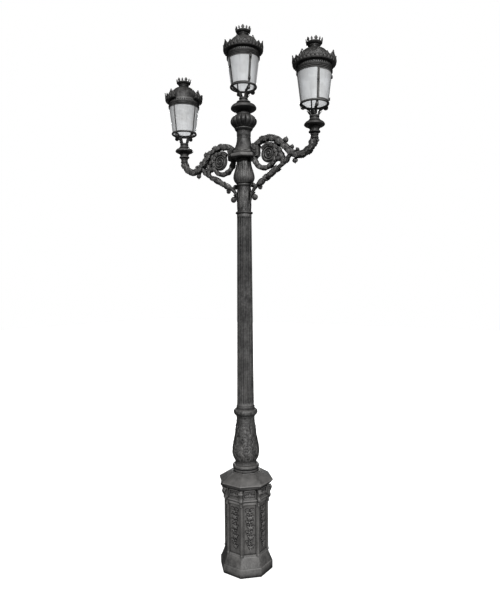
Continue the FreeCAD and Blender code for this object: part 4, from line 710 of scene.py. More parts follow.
    @apart
    def leaf(self, length: float, width: float, matrix: Matrix | None = None, curl: float = 0.15,
             lobes: int = 4, rise: float = 5.0, thick: float = 2.5) -> list[BMVert]:
        """A lobed leaf that grows along +Z from the origin and faces +X.

        Args:
            length: From its foot to its tip.
            width: At its widest.
            matrix: Where it goes.
            curl: How far its tip leans out, as a share of its length.
            lobes: Its lobes on each side.
            rise: How far its middle stands out.
            thick: Its thickness.

        Returns:
            The new points.
        """
        before = self.count()
        grid = bmesh.ops.create_grid(self.bm, x_segments=lobes * 3, y_segments=4, size=1.0)["verts"]
        reach = max(abs(v.co.x) for v in grid)
        for vert in grid:
            along, across = (vert.co.x / reach + 1) / 2, vert.co.y / reach
            body = math.sin(math.pi * min(1.0, along * 0.92 + 0.06) ** 0.8) ** 0.75
            notch = 1 - 0.34 * abs(math.sin(lobes * math.pi * along)) ** 2 * abs(across)
            half = width / 2 * max(0.04, body) * notch
            vein = 0.22 * math.cos(lobes * TAU * (along - 0.25 * abs(across))) * abs(across)
            out = rise * ((1 - across * across) * math.sin(math.pi * min(1, along + 0.1)) + vein)
            out -= rise * 0.35 * math.exp(-(across / 0.12) ** 2)
            vert.co = Vector((out + curl * length * along ** 3, across * half,
                              length * along * (1 - 0.3 * curl * along ** 2)))
        faces = list(faces_of(grid))
        bmesh.ops.recalc_face_normals(self.bm, faces=faces)
        bmesh.ops.solidify(self.bm, geom=faces, thickness=thick)
        made = self.since(before)
        if matrix:
            self.put(made, matrix)
        return made

    @apart
    def volute(self, radius: float, breadth: float, matrix: Matrix, turns: float = 1.7) -> list[BMVert]:
        """A scroll end in the upright plane, with a button at its eye."""
        before = self.count()
        path = spiral(Vector(), radius * 0.80, radius * 0.22, turns, 0, 20)
        self.bar(path, lambda share: radius * (0.21 - 0.08 * share), 10, breadth / (radius * 0.42))
        eye = breadth * 1.12
        self.rod(radius * 0.26, eye, spin_on("X", 90) @ at(0, 0, -eye / 2), 14)
        self.rod(radius * 0.78, breadth * 0.45, spin_on("X", 90) @ at(0, 0, -breadth * 0.225), 20)
        made = self.since(before)
        self.put(made, matrix)
        return made

    def finish(self, material: bpy.types.Material, body: str, nodes: Sequence[str] = (),
               place: Matrix | None = None, crease: float = 34.0) -> bpy.types.Object:
        """Makes the piece an object, in metres and in place, on its body.

        Args:
            material: Its finish.
            body: The body that it rides on.
            nodes: The solids that it replaces.
            place: Where a piece modelled at the origin goes, in millimetres.
            crease: Edges sharper than this stay sharp.

        Returns:
            The finished object.
        """
        bm = self.bm
        bmesh.ops.remove_doubles(bm, verts=bm.verts, dist=WELD)
        bmesh.ops.dissolve_degenerate(bm, edges=bm.edges, dist=SLIVER)
        bmesh.ops.recalc_face_normals(bm, faces=bm.faces)
        for face in bm.faces:
            face.smooth = True
        for edge in bm.edges:
            edge.smooth = len(edge.link_faces) == 2 and edge.calc_face_angle(0.0) < math.radians(crease)
        bmesh.ops.transform(bm, matrix=Matrix.Scale(MM, 4) @ (place or Matrix()), verts=bm.verts)
        mesh = bpy.data.meshes.new(self.name)
        bm.to_mesh(mesh)
        bm.free()
        mesh.materials.append(material)
        piece = bpy.data.objects.new(self.name, mesh)
        bpy.context.scene.collection.objects.link(piece)
        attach(piece, body)
        if nodes:
            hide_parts(*nodes)
        LOG.info("%s: %d faces", self.name, len(mesh.polygons))
        return piece


@dataclass
class Palette:
    """The finishes of the whole post."""

    iron: bpy.types.Material
    pane: bpy.types.Material
    lamp: bpy.types.Material
    gear: bpy.types.Material
    flange: bpy.types.Material
    board: bpy.types.Material
    brass: bpy.types.Material

    @classmethod
    def mixed(cls) -> "Palette":
        """Makes every finish."""
        main = PaintedIron().make(), FrostedPane().make()
        plain = [PlainFinish(name, colour, metallic, rough, stain, grain).make()
                 for name, colour, metallic, rough, stain, grain in (
                     ("opal_lamp", (0.86, 0.85, 0.80), 0.0, 0.18, 0.9, 500),
                     ("zinc_gear", (0.52, 0.53, 0.54), 0.85, 0.38, 0.75, 240),
                     ("galvanised_flange", (0.40, 0.41, 0.42), 0.8, 0.48, 0.6, 90),
                     ("board_case", (0.16, 0.165, 0.17), 0.0, 0.5, 0.7, 500),
                     ("dulled_brass", (0.42, 0.31, 0.14), 0.9, 0.42, 0.5, 260))]
        return cls(*main, *plain)


# Pedestal

@dataclass
class Pedestal:
    """The eight-sided pedestal with its panels, consoles, frieze, cap and service door."""

    palette: Palette
    body_radius: float = 209
    flat: float = 193.09
    recess: float = 5
    panel_half: float = 56
    panel_foot: float = 202
    panel_head: float = 670
    wall: float = 12
    door_half: float = 50
    door_foot: float = 210
    door_head: float = 614
    door_gap: float = 1.5
    hinge_x: float = -59.5
    hinge_out: float = 8
    hinge_feet: tuple[float, float] = (280, 514)
    vine_foot: float = 237

    @property
    def floor(self) -> float:
        """How far out the recessed panels lie."""
        return self.flat - self.recess

    @property
    def inner(self) -> float:
        """How far out the walls' inner faces lie."""
        return self.flat - self.wall

    @staticmethod
    def at_back(angle: float) -> bool:
        """Whether an angle is that of the back panel, which the service door takes."""
        return abs(angle - 90) < 1

    def done(self, work: Work, node: str, crease: float = 34.0) -> None:
        """Finishes one casting of the pedestal."""
        work.finish(self.palette.iron, POST, [node], crease=crease)

    def build(self) -> None:
        """Builds and dresses every piece of the pedestal."""
        self.plinth()
        self.body()
        self.frieze()
        self.consoles()
        self.ornament()
        self.cap()
        self.door()
        self.lock()

    def plinth(self) -> None:
        """The stepped foot."""
        work = Work("plinth_casting")
        work.eight_sided([(240, 0), (255, 0), (257, 3), (257, 74), (254, 80), (249, 84), (216, 166), (213, 171),
                          (210, PLINTH_TOP), (196, PLINTH_TOP), (196, 168), (240, 80)])
        work.round_off([edge for edge in work.bm.edges if climb(edge) > 40
                        and math.hypot(*edge.verts[0].co.xy) > 205], 3.0)
        self.done(work, "plinth", 25)

    def body(self) -> None:
        """The panelled walls, the pilasters and the door's hinge posts."""
        work = Work("pedestal_walls")
        inner, floor, half = self.inner, self.floor, 80.0
        lip = 1.8

        def wall() -> None:
            """One wall with its recessed, moulded panel."""
            slab = work.box((inner, -half, PLINTH_TOP), (self.flat, half, BODY_TOP), 0)
            front = [face for face in faces_of(slab) if face.calc_center_median().x > self.flat - 1]
            work.inset(front, (half - self.panel_half - 5, 0), (2.0, lip), (3.0, -self.recess - lip), (4.0, 0))

        work.around(8, wall, skip=self.at_back)
        back, gap = turn_z(90), self.door_gap
        for low, high in (((inner, -half, PLINTH_TOP), (self.flat, half, self.door_foot - 8)),
                          ((inner, -half, self.door_head + 8), (self.flat, half, BODY_TOP)),
                          ((inner, -half, PLINTH_TOP), (self.flat, -self.panel_half, BODY_TOP)),
                          ((inner, self.panel_half, PLINTH_TOP), (self.flat, half, BODY_TOP)),
                          ((inner, -self.panel_half, self.panel_foot),
                           (floor, -self.door_half - gap, self.panel_head)),
                          ((inner, self.door_half + gap, self.panel_foot),
                           (floor, self.panel_half, self.panel_head)),
                          ((inner, -half + 5, self.panel_foot - 2), (floor, half - 5, self.door_foot - gap)),
                          ((inner, -half + 5, self.door_head + gap), (floor, half - 5, self.panel_head + 5))):
            work.box(low, high, 0.8, back)

        def pilaster() -> None:
            """A corner post with its small base and neckings."""
            outline = Outline(0.5, PLINTH_TOP).to((16, PLINTH_TOP), (16, PLINTH_TOP + 8)).swell(
                14, PLINTH_TOP + 20, 1.5, 4).to((12.5, PLINTH_TOP + 24), (12.5, 640))
            outline.swell(12.5, 648, 2.5, 4).to((12.5, 652), (0.5, 652))
            made = work.lathe(outline.points, 24, closed=False)
            work.put(made, at(self.body_radius - 6, 0, 0))

        work.around(8, pilaster, CORNER)
        hinge_y = self.flat + self.hinge_out
        for foot in self.hinge_feet:
            low, seat = foot - 15.4, foot - 0.4
            for radius, high in ((8, seat), (4, foot + 29.8)):
                work.rod(radius, high - low, at(self.hinge_x, hinge_y, low), 24)
            work.box((self.hinge_x - 8, self.flat - 9, low), (self.hinge_x, hinge_y, seat), 0.8)
        self.done(work, "pedestal_body", 28)

    def frieze(self) -> None:
        """The stepped moulding and the frieze ring."""
        work = Work("frieze_moulding")
        work.eight_sided([(195, BODY_TOP), (209, BODY_TOP), (211, 689), (214, 692), (220, 695), (224, 699),
                          (225, 702), (225, 709), (223, 712), (217, 715), (215, 719), (211, 722), (208, 728),
                          (208, 803), (211, 806), (216, 808), (218, FRIEZE_TOP), (195, FRIEZE_TOP)])

        def arch() -> None:
            """The raised arch of one frieze face."""
            path = trail(Vector((-58, 0, 732)), 90, [48, (18, -90), 80, (18, -90), 48], 4)
            work.put(work.bar(path, 7.5, 10, 1.2), at(195.5, 0, 0) @ turn_z(90))

        work.around(8, arch)
        self.done(work, "pedestal_frieze", 25)

    def consoles(self) -> None:
        """The eight scroll brackets with their leaves and drops."""
        work = Work("scroll_consoles")

        def console() -> None:
            """One bracket."""
            path = [Vector((x, 0, z)) for x, z in Outline(219, 690).curve(
                [(227, 700), (229, 712), (223, 728), (223, 745), (231, 764), (236, 784), (230, 806)], 5).points]
            work.bar(path, lambda share: 11 + 4 * share, 16, 1.2, lambda share, phi: 1.3 * math.cos(6 * phi))
            work.box((200, -12, 668), (222, 12, 700), 2)
            work.box((200, -15, 700), (224, 15, FRIEZE_TOP), 2)
            work.volute(18, 42, at(236, 0, 782) @ spin_on("Y", 60))
            work.volute(15, 34, at(228, 0, 708) @ spin_on("Y", -120))
            work.leaf(52, 26, at(233, 0, 772) @ spin_on("Y", 184), 0.15, 4, 5)
            drop = Outline(0.3, 642).curve([(8, 646), (12.5, 656), (9, 667), (12, 674), (12, 690)], 4)
            work.put(work.lathe(drop.to((0.3, 690)).points, 20, closed=False), at(215, 0, 0))

        work.around(8, console, CORNER)
        self.done(work, "corner_consoles")

    def vine(self, work: Work, matrix: Matrix) -> None:
        """A vine of flowers, buds and leaves, 400 high, its back on the plane X = 0.

        Args:
            work: The piece that it is part of.
            matrix: Where its foot goes.
        """
        def sway_at(level: float) -> float:
            """How far the stem sways to the side."""
            return 6.5 * math.sin(level * TAU / 100)

        before = work.count()
        path = [Vector((2.0 + 1.5 * math.cos(z / 9), 0, z)) for z in range(2, 392, 6)]
        for vert in work.bar(path, lambda share: 3.6 - 1.2 * share, 8, 1.2):
            vert.co.y += sway_at(vert.co.z)
        for index in range(8):
            level = 28 + index * 46
            grown = 0.72 + 0.28 * index / 7
            sway = sway_at(level)
            if index % 2 == 0:
                work.flower(20 * grown, at(2.5, sway, level), 6)
            else:
                work.ball(1.0, at(4, sway, level + 4), 6, (5, 7 * grown, 12 * grown))
            for side in (-1, 1):
                for length, width, off, lift, tilt, rise in ((32, 17, 5, 4, 52, 4.5), (20, 11, 3, -6, 112, 4)):
                    spot = at(1.0, sway + side * off, level + lift) @ spin_on("X", -side * tilt)
                    work.leaf(length * grown, width * grown, spot, 0.05, 3, rise, 2)
        for side in (-1, 1):
            work.volute(15, 7, at(3.5, side * 15, 380) @ turn_z(90) @ Matrix.Diagonal((side, 1, 1, 1)), 1.5)
        work.put(work.since(before), matrix)

    def ornament(self) -> None:
        """The vines on seven panels and the scrolled leaves on the frieze."""
        work = Work("panel_and_frieze_reliefs")
        bold = Matrix.Diagonal((1.45, 1.4, 1, 1))
        place = at(self.floor - 0.5, 0, self.vine_foot) @ bold
        work.around(8, lambda: self.vine(work, place), skip=self.at_back)

        def scrolled() -> None:
            """Two scrolled stems and a flower on one frieze face."""
            for side in (-1, 1):
                path = trail(Vector((4, 0, -10)), 20, [(30, 90), (10, 190)])
                stem = work.bar(path, lambda share: 4.6 - 1.5 * share, 8, 1.3)
                work.put(stem, at(192.5, 0, 750) @ turn_z(90) @ Matrix.Diagonal((side, 1, 1, 1)))
                work.leaf(36, 22, at(192.5, side * 9, 744) @ spin_on("X", -side * 62), 0.05, 3, 9, 2)
                work.leaf(30, 20, at(192.5, side * 32, 736) @ spin_on("X", -side * 25), 0.05, 3, 9, 2)
            work.flower(19, at(193.5, 0, 752), 6, 0.6)

        work.around(8, scrolled)
        self.done(work, "pedestal_ornament")

    def cap(self) -> None:
        """The eave and the pyramid."""
        work = Work("pyramid_cap")
        work.eight_sided([(195, FRIEZE_TOP), (229, FRIEZE_TOP), (233, 819), (235, 826), (240, 829), (247, 831),
                          (250, 836), (254, 843), (261, 847), (264, 850), (264, 858), (261, 862), (152, 928),
                          (148, 930), (144, 931), (139, CAP_TOP), (86, CAP_TOP), (86, 926), (195, 849)])
        work.round_off([edge for edge in work.bm.edges if climb(edge) > 50
                        and (edge.verts[0].co.z + edge.verts[1].co.z) / 2 > 890], 2.0)
        self.done(work, "pedestal_cap", 22)

    def door(self) -> None:
        """The service door at the back."""
        work = Work("service_door")
        floor, sunk, barrel = self.floor, 1.2, 30
        back = turn_z(90)
        plate = work.box((floor - 8, -self.door_half, self.door_foot),
                         (floor, self.door_half, self.door_head), 0)
        front = [face for face in faces_of(plate) if face.calc_center_median().x > floor - 1]
        work.inset(front, (7.0, 0), (1.5, -sunk))
        work.put(work.bm.verts, back)
        self.vine(work, back @ at(floor - sunk, 0, self.vine_foot) @ Matrix.Diagonal((1, 0.82, 0.93, 1)))
        for foot in self.hinge_feet:
            work.rod(8, barrel, at(self.hinge_x, self.flat + self.hinge_out, foot), 24)
            work.box((self.hinge_x, self.flat + 11.2, foot), (-38, self.flat + 15.8, foot + barrel), 1.0)
            work.box((-50, floor, foot), (-43.6, self.flat + 14, foot + barrel), 1.0)
        work.finish(self.palette.iron, "access_door", ["access_door"], crease=30)

    def lock(self) -> None:
        """The lock's barrel, key square and tongue."""
        work = Work("service_lock")
        floor, inner = self.floor, self.inner
        back = at(37, 0, 412) @ spin_on("X", -90)
        work.rod(9, 12, back @ at(0, 0, floor - 10), 28)
        work.rod(11.5, 3, back @ at(0, 0, floor + 0.3), 32, 10.6)
        work.rod(6, 17.5, back @ at(0, 0, floor - 18.5), 20)
        work.box((-4, -4, floor + 3), (4, 4, floor + 10), 0.8, back)
        work.box((28, inner - 10.5, 403), (46, inner - 5.5, 437), 1.0)
        work.finish(self.palette.brass, "door_lock", ["door_lock"])


# Column

@dataclass
class Column:
    """The turned castings from the cap to the saucer under the centre lantern."""

    palette: Palette
    flutes: int = 20
    lobes: int = 16

    def build(self) -> None:
        """Builds and dresses every casting of the column."""
        self.base_ring()
        self.baluster()
        self.collar()
        self.shaft()
        self.neck()
        self.vase()
        self.hub()
        self.bell()
        self.bulb()
        self.saucer()

    def done(self, work: Work, node: str, crease: float = 34.0) -> None:
        """Finishes one casting of the column."""
        work.finish(self.palette.iron, POST, [node], crease=crease)

    def base_ring(self) -> None:
        """The step, the torus and the neck above them."""
        work = Work("column_base")
        outline = Outline(86, CAP_TOP).to((123, CAP_TOP), (123, 953)).swell(119, 960, 1.5, 4).to((113, 961))
        outline.swell(113, 999, 14, 14).to((108, 1001), (105, 1004))
        outline.swell(102, BASE_TOP, -2.5, 6).to((86, BASE_TOP))
        work.lathe(outline.points, 112)
        self.done(work, "base_ring")

    def baluster(self) -> None:
        """The pear, covered in low foliage."""
        work = Work("foliage_baluster")
        skin = Outline(101, BASE_TOP).to((101, 1030)).curve(
            [(107, 1042), (118, 1066), (125, 1090), (128, 1116), (126, 1150), (120, 1190), (112, 1232), (104, 1273),
             (98, 1320), (93, 1362), (88, 1400)], 6).to((87, 1404), (87, 1408))
        skin.swell(87, 1416, 2.5, 4).to((86, 1420), (86, 1452)).swell(87, BALUSTER_TOP, 3, 5)
        radius = radius_of(skin.points)
        shell = work.lathe([*skin.points, (72, BALUSTER_TOP), (72, BASE_TOP)], 144)

        low, high = 1034, 1400

        def foliage(angle: float, level: float, reach: float) -> float:
            """Raised scrolls over the pear's skin."""
            if reach < 80 or not low < level < high:
                return 0.0
            fade = min(1.0, (level - low) / 20, (high - level) / 20)
            x, y = reach * math.cos(angle), reach * math.sin(angle)
            return fade * (4.2 * ridge(x, y, level, 24) ** 2 + 2.4 * ridge(x, y, level + 400, 13) ** 2 - 2.6)

        work.swell(shell, foliage)
        for row, (level, number, length, width, tilt) in enumerate((
                (low, 12, 60, 44, 0), (1078, 9, 62, 40, 38), (1112, 9, 58, 38, -42), (1150, 9, 60, 40, 35),
                (1188, 8, 58, 38, -40), (1226, 8, 56, 36, 36), (1264, 8, 54, 34, -38), (1302, 8, 52, 30, 0))):
            work.around(number, lambda: work.wrap(
                work.leaf(length, width, at(-1.5, 0, level) @ spin_on("X", tilt), 0.03, 4, 4.0, 1.6), radius),
                row * 17.0)
        work.around(8, lambda: work.wrap(work.flower(15, at(0, 0, 1362), 6), radius), CORNER)
        self.done(work, "baluster", 40)

    def collar(self) -> None:
        """The collar under the shaft: a torus and a small ring."""
        work = Work("shaft_collar")
        outline = Outline(64, BALUSTER_TOP).to((95, BALUSTER_TOP), (96, 1474))
        outline.swell(97, 1528, 18, 14).to((92, 1532), (86, 1536))
        outline.swell(86, 1546, 1.5, 4).to((86, 1548)).swell(86, 1559, 3, 5).to((64, COLLAR_TOP))
        made = work.lathe(outline.points, 120)
        work.swell(made, lambda angle, level, reach: (1.2 * math.cos(20 * angle) - 1.2) * max(
            0.0, math.sin(math.pi * (level - 1474) / 54)) if 1474 < level < 1528 and reach > 90 else 0)
        self.done(work, "lower_collar")

    def shaft(self) -> None:
        """The fluted shaft, with a plain band at each end."""
        work = Work("fluted_shaft")
        foot, head, low, high = 81.0, 69.0, COLLAR_TOP, SHAFT_TOP
        margin, cut, steps = 31, 5.0, (0, 30, 34, 37, 41, 47, 56)
        levels = [low + step for step in steps]
        levels += [low + 56 + (high - low - 112) * k / 24 for k in range(1, 24)]
        levels += [high - step for step in reversed(steps)]
        outline = [(foot + (head - foot) * (level - low) / (high - low), level) for level in levels]
        made = work.lathe([*outline, (BORE, high), (BORE, low)], self.flutes * 12)
        pitch = TAU / self.flutes

        def flute(angle: float, level: float, reach: float) -> float:
            """How far a flute is cut in."""
            if reach < 60 or not low + margin < level < high - margin:
                return 0.0
            off = abs((angle / pitch + 0.5) % 1 - 0.5) * pitch * reach
            end = min(1.0, min(level - low - margin, high - margin - level) / 20)
            half = 8.6 * math.sqrt(max(0.0, 1 - (1 - end) ** 2))
            return -cut * math.sqrt(max(0.0, 1 - (off / half) ** 2)) if half > 0.5 and off < half else 0.0

        work.swell(made, flute)
        self.done(work, "shaft", 30)

    def neck(self) -> None:
        """The necking, the patterned sleeve and its upper ring."""
        work = Work("neck_sleeve_casting")
        outline = Outline(BORE, SHAFT_TOP).to((71, SHAFT_TOP), (73, 3400))
        outline.swell(73, 3418, 9, 10).to((68, 3423), (66, 3428))
        outline.to(*[(66 - 2 * k / 30, 3432 + 224 * k / 30) for k in range(31)])
        outline.to((66, 3662)).swell(68, 3686, 6, 10).to((70, NECK_TOP), (BORE, NECK_TOP))
        made = work.lathe(outline.points, 112)

        def relief(angle: float, level: float, reach: float) -> float:
            """Upright straps with scrolls between them."""
            if reach < 60 or not 3436 < level < 3650:
                return 0.0
            strap = 1.4 if math.cos(8 * angle) > 0.82 else 0.0
            x, y = reach * math.cos(angle), reach * math.sin(angle)
            return strap + 2.0 * ridge(x, y, level, 15) ** 2 - 1.0

        work.swell(made, relief)
        for level, start in ((3446, 0.0), (3548, CORNER)):
            work.around(8, lambda: work.wrap(work.leaf(84, 34, at(-1, 0, level), 0.03, 4, 3.5, 1.5),
                                             lambda _level: 65.5), start)
        self.done(work, "neck_sleeve", 40)

    def vase(self) -> None:
        """The bulb of leaves under the hub."""
        work = Work("leaf_vase_casting")
        skin = Outline(74, NECK_TOP).to((76, 3692)).curve(
            [(86, 3706), (94, 3724), (98, 3748), (94, 3778), (86, 3806), (77, 3838), (70, 3868), (67, 3892)], 6)
        skin.to((66, VASE_TOP))
        radius = radius_of(skin.points)
        shell = work.lathe([*skin.points, (BORE, VASE_TOP), (BORE, NECK_TOP)], 120)
        work.swell(shell, lambda angle, level, reach: 1.6 * math.cos(12 * angle) * min(
            1.0, max(0.0, (level - 3700) / 30)) if reach > 60 and level < 3900 else 0)
        for length, width, level, start in ((124, 44, 3694, 0), (96, 40, 3692, 15), (150, 22, 3720, 15)):
            work.around(12, lambda: work.wrap(
                work.leaf(length, width, at(-1.5, 0, level), 0.025, 4, 4.2, 1.8), radius), start)
        self.done(work, "leaf_vase", 40)

    def hub(self) -> None:
        """The hub block and the roots of the arms."""
        work = Work("hub_casting")
        work.eight_sided([(BORE, VASE_TOP), (138, VASE_TOP), (144, 3929), (148, 3936), (148, 3954),
                          (145, 3958), (138, 3962), (126, 3970), (116, 3979), (110, HUB_TOP), (BORE, HUB_TOP)])
        for side in (0, 180):
            before = work.count()
            work.box((100, -28, VASE_TOP), (176, 28, 4030), 9)
            work.volute(36, 68, at(148, 0, 3966) @ spin_on("Y", 130), 1.6)
            work.volute(25, 62, at(132, 0, 4022) @ spin_on("Y", -30), 1.5)
            for face in (-1, 1):
                spot = at(152, face * 27, 3994) @ turn_z(face * 90)
                for tilt, length in ((-64, 52), (-18, 50), (28, 44)):
                    work.leaf(length, 30, spot @ spin_on("X", face * tilt), 0.1, 3, 7)
            work.put(work.since(before), turn_z(side))
        self.done(work, "arm_hub", 28)

    def bell(self) -> None:
        """The bell cone, the upper neck with its reeded band, and the lip."""
        work = Work("bell_casting")
        outline = Outline(BORE, HUB_TOP).to((106, HUB_TOP), (106, 3997)).curve(
            [(98, 4006), (88, 4024), (78, 4050), (70, 4078), (65, 4109)], 7).to((64, 4112))
        outline.swell(64, 4120, 2.5, 5).to((64, 4122), (64, 4136)).swell(64, 4142, 2, 4)
        outline.to(*[(66, 4144 + 6 * k) for k in range(6)]).swell(66, 4180, 2, 4).curve(
            [(70, 4187), (78, 4195), (83, 4202)], 4).swell(83, 4213, 3, 5).to((80, BELL_TOP), (BORE, BELL_TOP))
        made = work.lathe(outline.points, 144)
        work.swell(made, lambda angle, level, reach: 2.2 * abs(math.cos(18 * angle)) - 1.4
                   if reach > 60 and 4143 < level < 4175 else 0)
        self.done(work, "bell_cone")

    def bulb(self) -> None:
        """The gadrooned bulb."""
        work = Work("gadrooned_bulb")
        outline = Outline(BORE, BELL_TOP).to((84, BELL_TOP), (87, 4217)).curve(
            [(97, 4228), (110, 4242), (119, 4256), (124, 4272), (123, 4288), (117, 4302), (105, 4315), (88, 4328),
             (74, 4336)], 5).to((70, 4338)).swell(66, BULB_TOP, 2, 4).to((BORE, BULB_TOP))
        made = work.lathe(outline.points, self.lobes * 12)

        low, high = 4219, 4334

        def lobe(angle: float, level: float, reach: float) -> float:
            """The valley between two lobes."""
            if reach < 70 or not low < level < high:
                return 0.0
            fade = math.sin(math.pi * (level - low) / (high - low)) ** 0.6
            return 1.5 - 13.0 * fade * (1 - abs(math.sin(self.lobes * angle / 2)) ** 0.42)

        work.swell(made, lobe)
        self.done(work, "gadroon_bulb", 42)

    def saucer(self) -> None:
        """The saucer under the centre lantern."""
        work = Work("centre_saucer_casting")
        outline = Outline(STEM_BORE, BULB_TOP).to((66, BULB_TOP), (66, 4349), (59, 4354)).curve(
            [(58, 4360), (66, 4368), (90, 4377), (110, 4388), (119, 4396)], 5)
        outline.swell(119, 4412, 3, 7).curve([(112, 4424), (98, 4434), (82, 4440), (72, 4443)], 5)
        outline.to((66, 4446), (64, 4449)).swell(62, 4466, 5, 8).to((52, 4468))
        outline.curve([(46, 4470), (43, 4473)], 3)
        outline.to((43, CENTRE_SEAT), (STEM_BORE, CENTRE_SEAT))
        work.lathe(outline.points, 112)
        self.done(work, "centre_saucer")


# Arms

@dataclass
class Arm:
    """One scrolled arm. It is modelled as the right one and turned half round for the left."""

    palette: Palette
    side: str
    root_x: float = 122
    root_z: float = 4017
    rise: float = 45
    arch: float = 206
    straight: float = 140
    brace_rise: float = 30

    @property
    def place(self) -> Matrix:
        """Where the arm goes."""
        return turn_z(180 if self.side == "left" else 0)

    def build(self) -> None:
        """Builds and dresses the arm's pieces."""
        self.branch()
        self.scroll()
        self.brace()
        self.leaves()
        self.saucer()

    def done(self, work: Work, node: str, crease: float = 42.0) -> None:
        """Finishes one piece of the arm."""
        work.finish(self.palette.iron, POST, [f"{self.side}_{node}"], self.place, crease)

    def path(self) -> list[Vector]:
        """The branch's line, up through the arch, down the straight and up round the elbow."""
        sine, cosine = math.sin(math.radians(self.rise)), math.cos(math.radians(self.rise))
        straight_end = self.root_x + 2 * self.arch * sine + self.straight * cosine
        elbow = (ARM_REACH - straight_end) / (1 + sine)
        return trail(Vector((self.root_x, 0, self.root_z)), self.rise,
                     [(self.arch, -2 * self.rise), self.straight, (elbow, self.rise + 90), 16.5], 5)

    def dress(self, work: Work, path: Sequence[Vector], radius: float, spacing: float, length: float,
              width: float, span: tuple[float, float] = (0.05, 0.95)) -> None:
        """Lays leaves along both faces of a bar.

        Args:
            work: The piece.
            path: The bar's line.
            radius: The bar's radius.
            spacing: The distance between leaves.
            length: A leaf's length.
            width: A leaf's width.
            span: The share of the line that is dressed.
        """
        total = sum((b - a).length for a, b in zip(path, path[1:]))
        count = max(1, round(total * (span[1] - span[0]) / spacing))
        for index in range(count):
            share = span[0] + (span[1] - span[0]) * (index + 0.5) / count
            spot = min(len(path) - 2, max(1, round(share * (len(path) - 1))))
            ahead = (path[spot + 1] - path[spot - 1]).normalized()
            for face in (-1, 1):
                out = Vector((0, face, 0))
                frame = Matrix((out, ahead.cross(out), ahead)).transposed().to_4x4()
                tilt = 16 * (1 if index % 2 else -1)
                frame.translation = path[spot] - ahead * length / 2 + out * (radius - 2.5)
                work.leaf(length, width, frame @ spin_on("X", tilt), 0.06, 3, 8.0, 2)

    def branch(self) -> None:
        """The arch, the straight and the elbow."""
        work = Work(f"{self.side}_branch_casting")
        path = self.path()

        def carved(share: float, phi: float) -> float:
            """Twisted ridges with foliage between them."""
            return 2.0 * math.cos(5 * phi + share * 34) + 3.2 * ridge(
                90 * share * 8, 30 * math.cos(phi), 30 * math.sin(phi), 17) ** 2 - 1.4

        work.bar(path, lambda share: 29.5 + 2.5 * math.sin(math.pi * min(1, max(0, share * 2 - 0.9))), 28, 0.96,
                 carved)
        self.dress(work, path, 30, 40, 66, 46, (0.07, 0.93))
        end = path[-1]
        for drop, radius in ((38, 37), (24, 34), (8, 36)):
            ring = Outline(20, -5).to((radius - 4, -5)).swell(radius - 4, 5, 4, 6).to((20, 5))
            work.put(work.lathe(ring.points, 48), at(end.x, 0, end.z - drop))
        self.done(work, "arm_branch")

    def scroll(self) -> None:
        """The spiral, its web and its rosette, and the link to the brace."""
        work = Work(f"{self.side}_scroll_casting")
        centre, level, radius = 245.0, 3930.0, 122.0
        path = trail(Vector((centre - radius, 0, level)), -90, [(radius, 180.0), (90.5, 140.0)], 5)

        def carved(share: float, phi: float) -> float:
            """Low twisted ridges."""
            return 1.2 * math.cos(4 * phi + share * 40) + 1.6 * ridge(
                share * 900, 25 * math.cos(phi), 25 * math.sin(phi), 14) ** 2 - 1.0

        work.bar(path, lambda share: 25.5 - 8 * share, 24, 0.95, carved)
        self.dress(work, path, 22, 38, 50, 34, (0.06, 0.9))
        eye = Vector((284, 0, 3934))
        coil = spiral(eye, 78, 16, -2.75, 150, 9)
        work.bar(coil, lambda share: 13.5 - 5.0 * share, 14, 1.35,
                 lambda share, phi: 0.9 * math.cos(5 * phi + share * 60))
        work.rod(82, 13, at(eye.x, 6.5, eye.z) @ spin_on("X", 90), 56)
        work.ball(1.0, at(*eye), 12, (15, 22, 15))
        work.ball(1.0, at(119, 0, 3938), 12, (30, 23, 30), 8, 0.12)
        work.bar([Vector((x, 0, 3878 + 3 * math.sin(x / 9))) for x in range(352, 456, 6)],
                 lambda share: 19 + 5 * math.sin(math.pi * share), 20, 0.95,
                 lambda share, phi: 1.5 * math.cos(6 * phi))
        work.ball(1.0, at(396, 0, 3874), 12, (26, 25, 27), 8, 0.14)
        self.done(work, "arm_scroll")

    def brace(self) -> None:
        """The lower brace: its foot, the two spindles with rings between, and the bars to the branch."""
        work = Work(f"{self.side}_brace_casting")
        lower = trail(Vector((94, 0, 3593)), 65, [(150, -35)], 4)
        knee, rise = lower[-1], math.radians(self.brace_rise)
        ahead = Vector((math.cos(rise), 0, math.sin(rise)))
        straight, bend, swing, end = 330, 150, 22, 62
        upper = trail(knee, self.brace_rise, [straight, (bend, swing), end], 4)
        total = straight + bend * math.radians(swing) + end

        def girth(share: float) -> float:
            """The bar's radius, with its two spindles."""
            along = share * total
            for first, last in ((4, 92), (116, 256)):
                if first < along < last:
                    return 17 + 14 * math.sin(math.pi * (along - first) / (last - first)) ** 0.7
            return 17 + 3 * min(1.0, max(0.0, (along - 260) / 60))

        def carved(share: float, phi: float) -> float:
            """Twisted leaf ridges."""
            return 1.7 * math.cos(6 * phi + share * 26) + 1.6 * ridge(
                share * 700, 24 * math.cos(phi), 24 * math.sin(phi), 13) ** 2 - 1.2

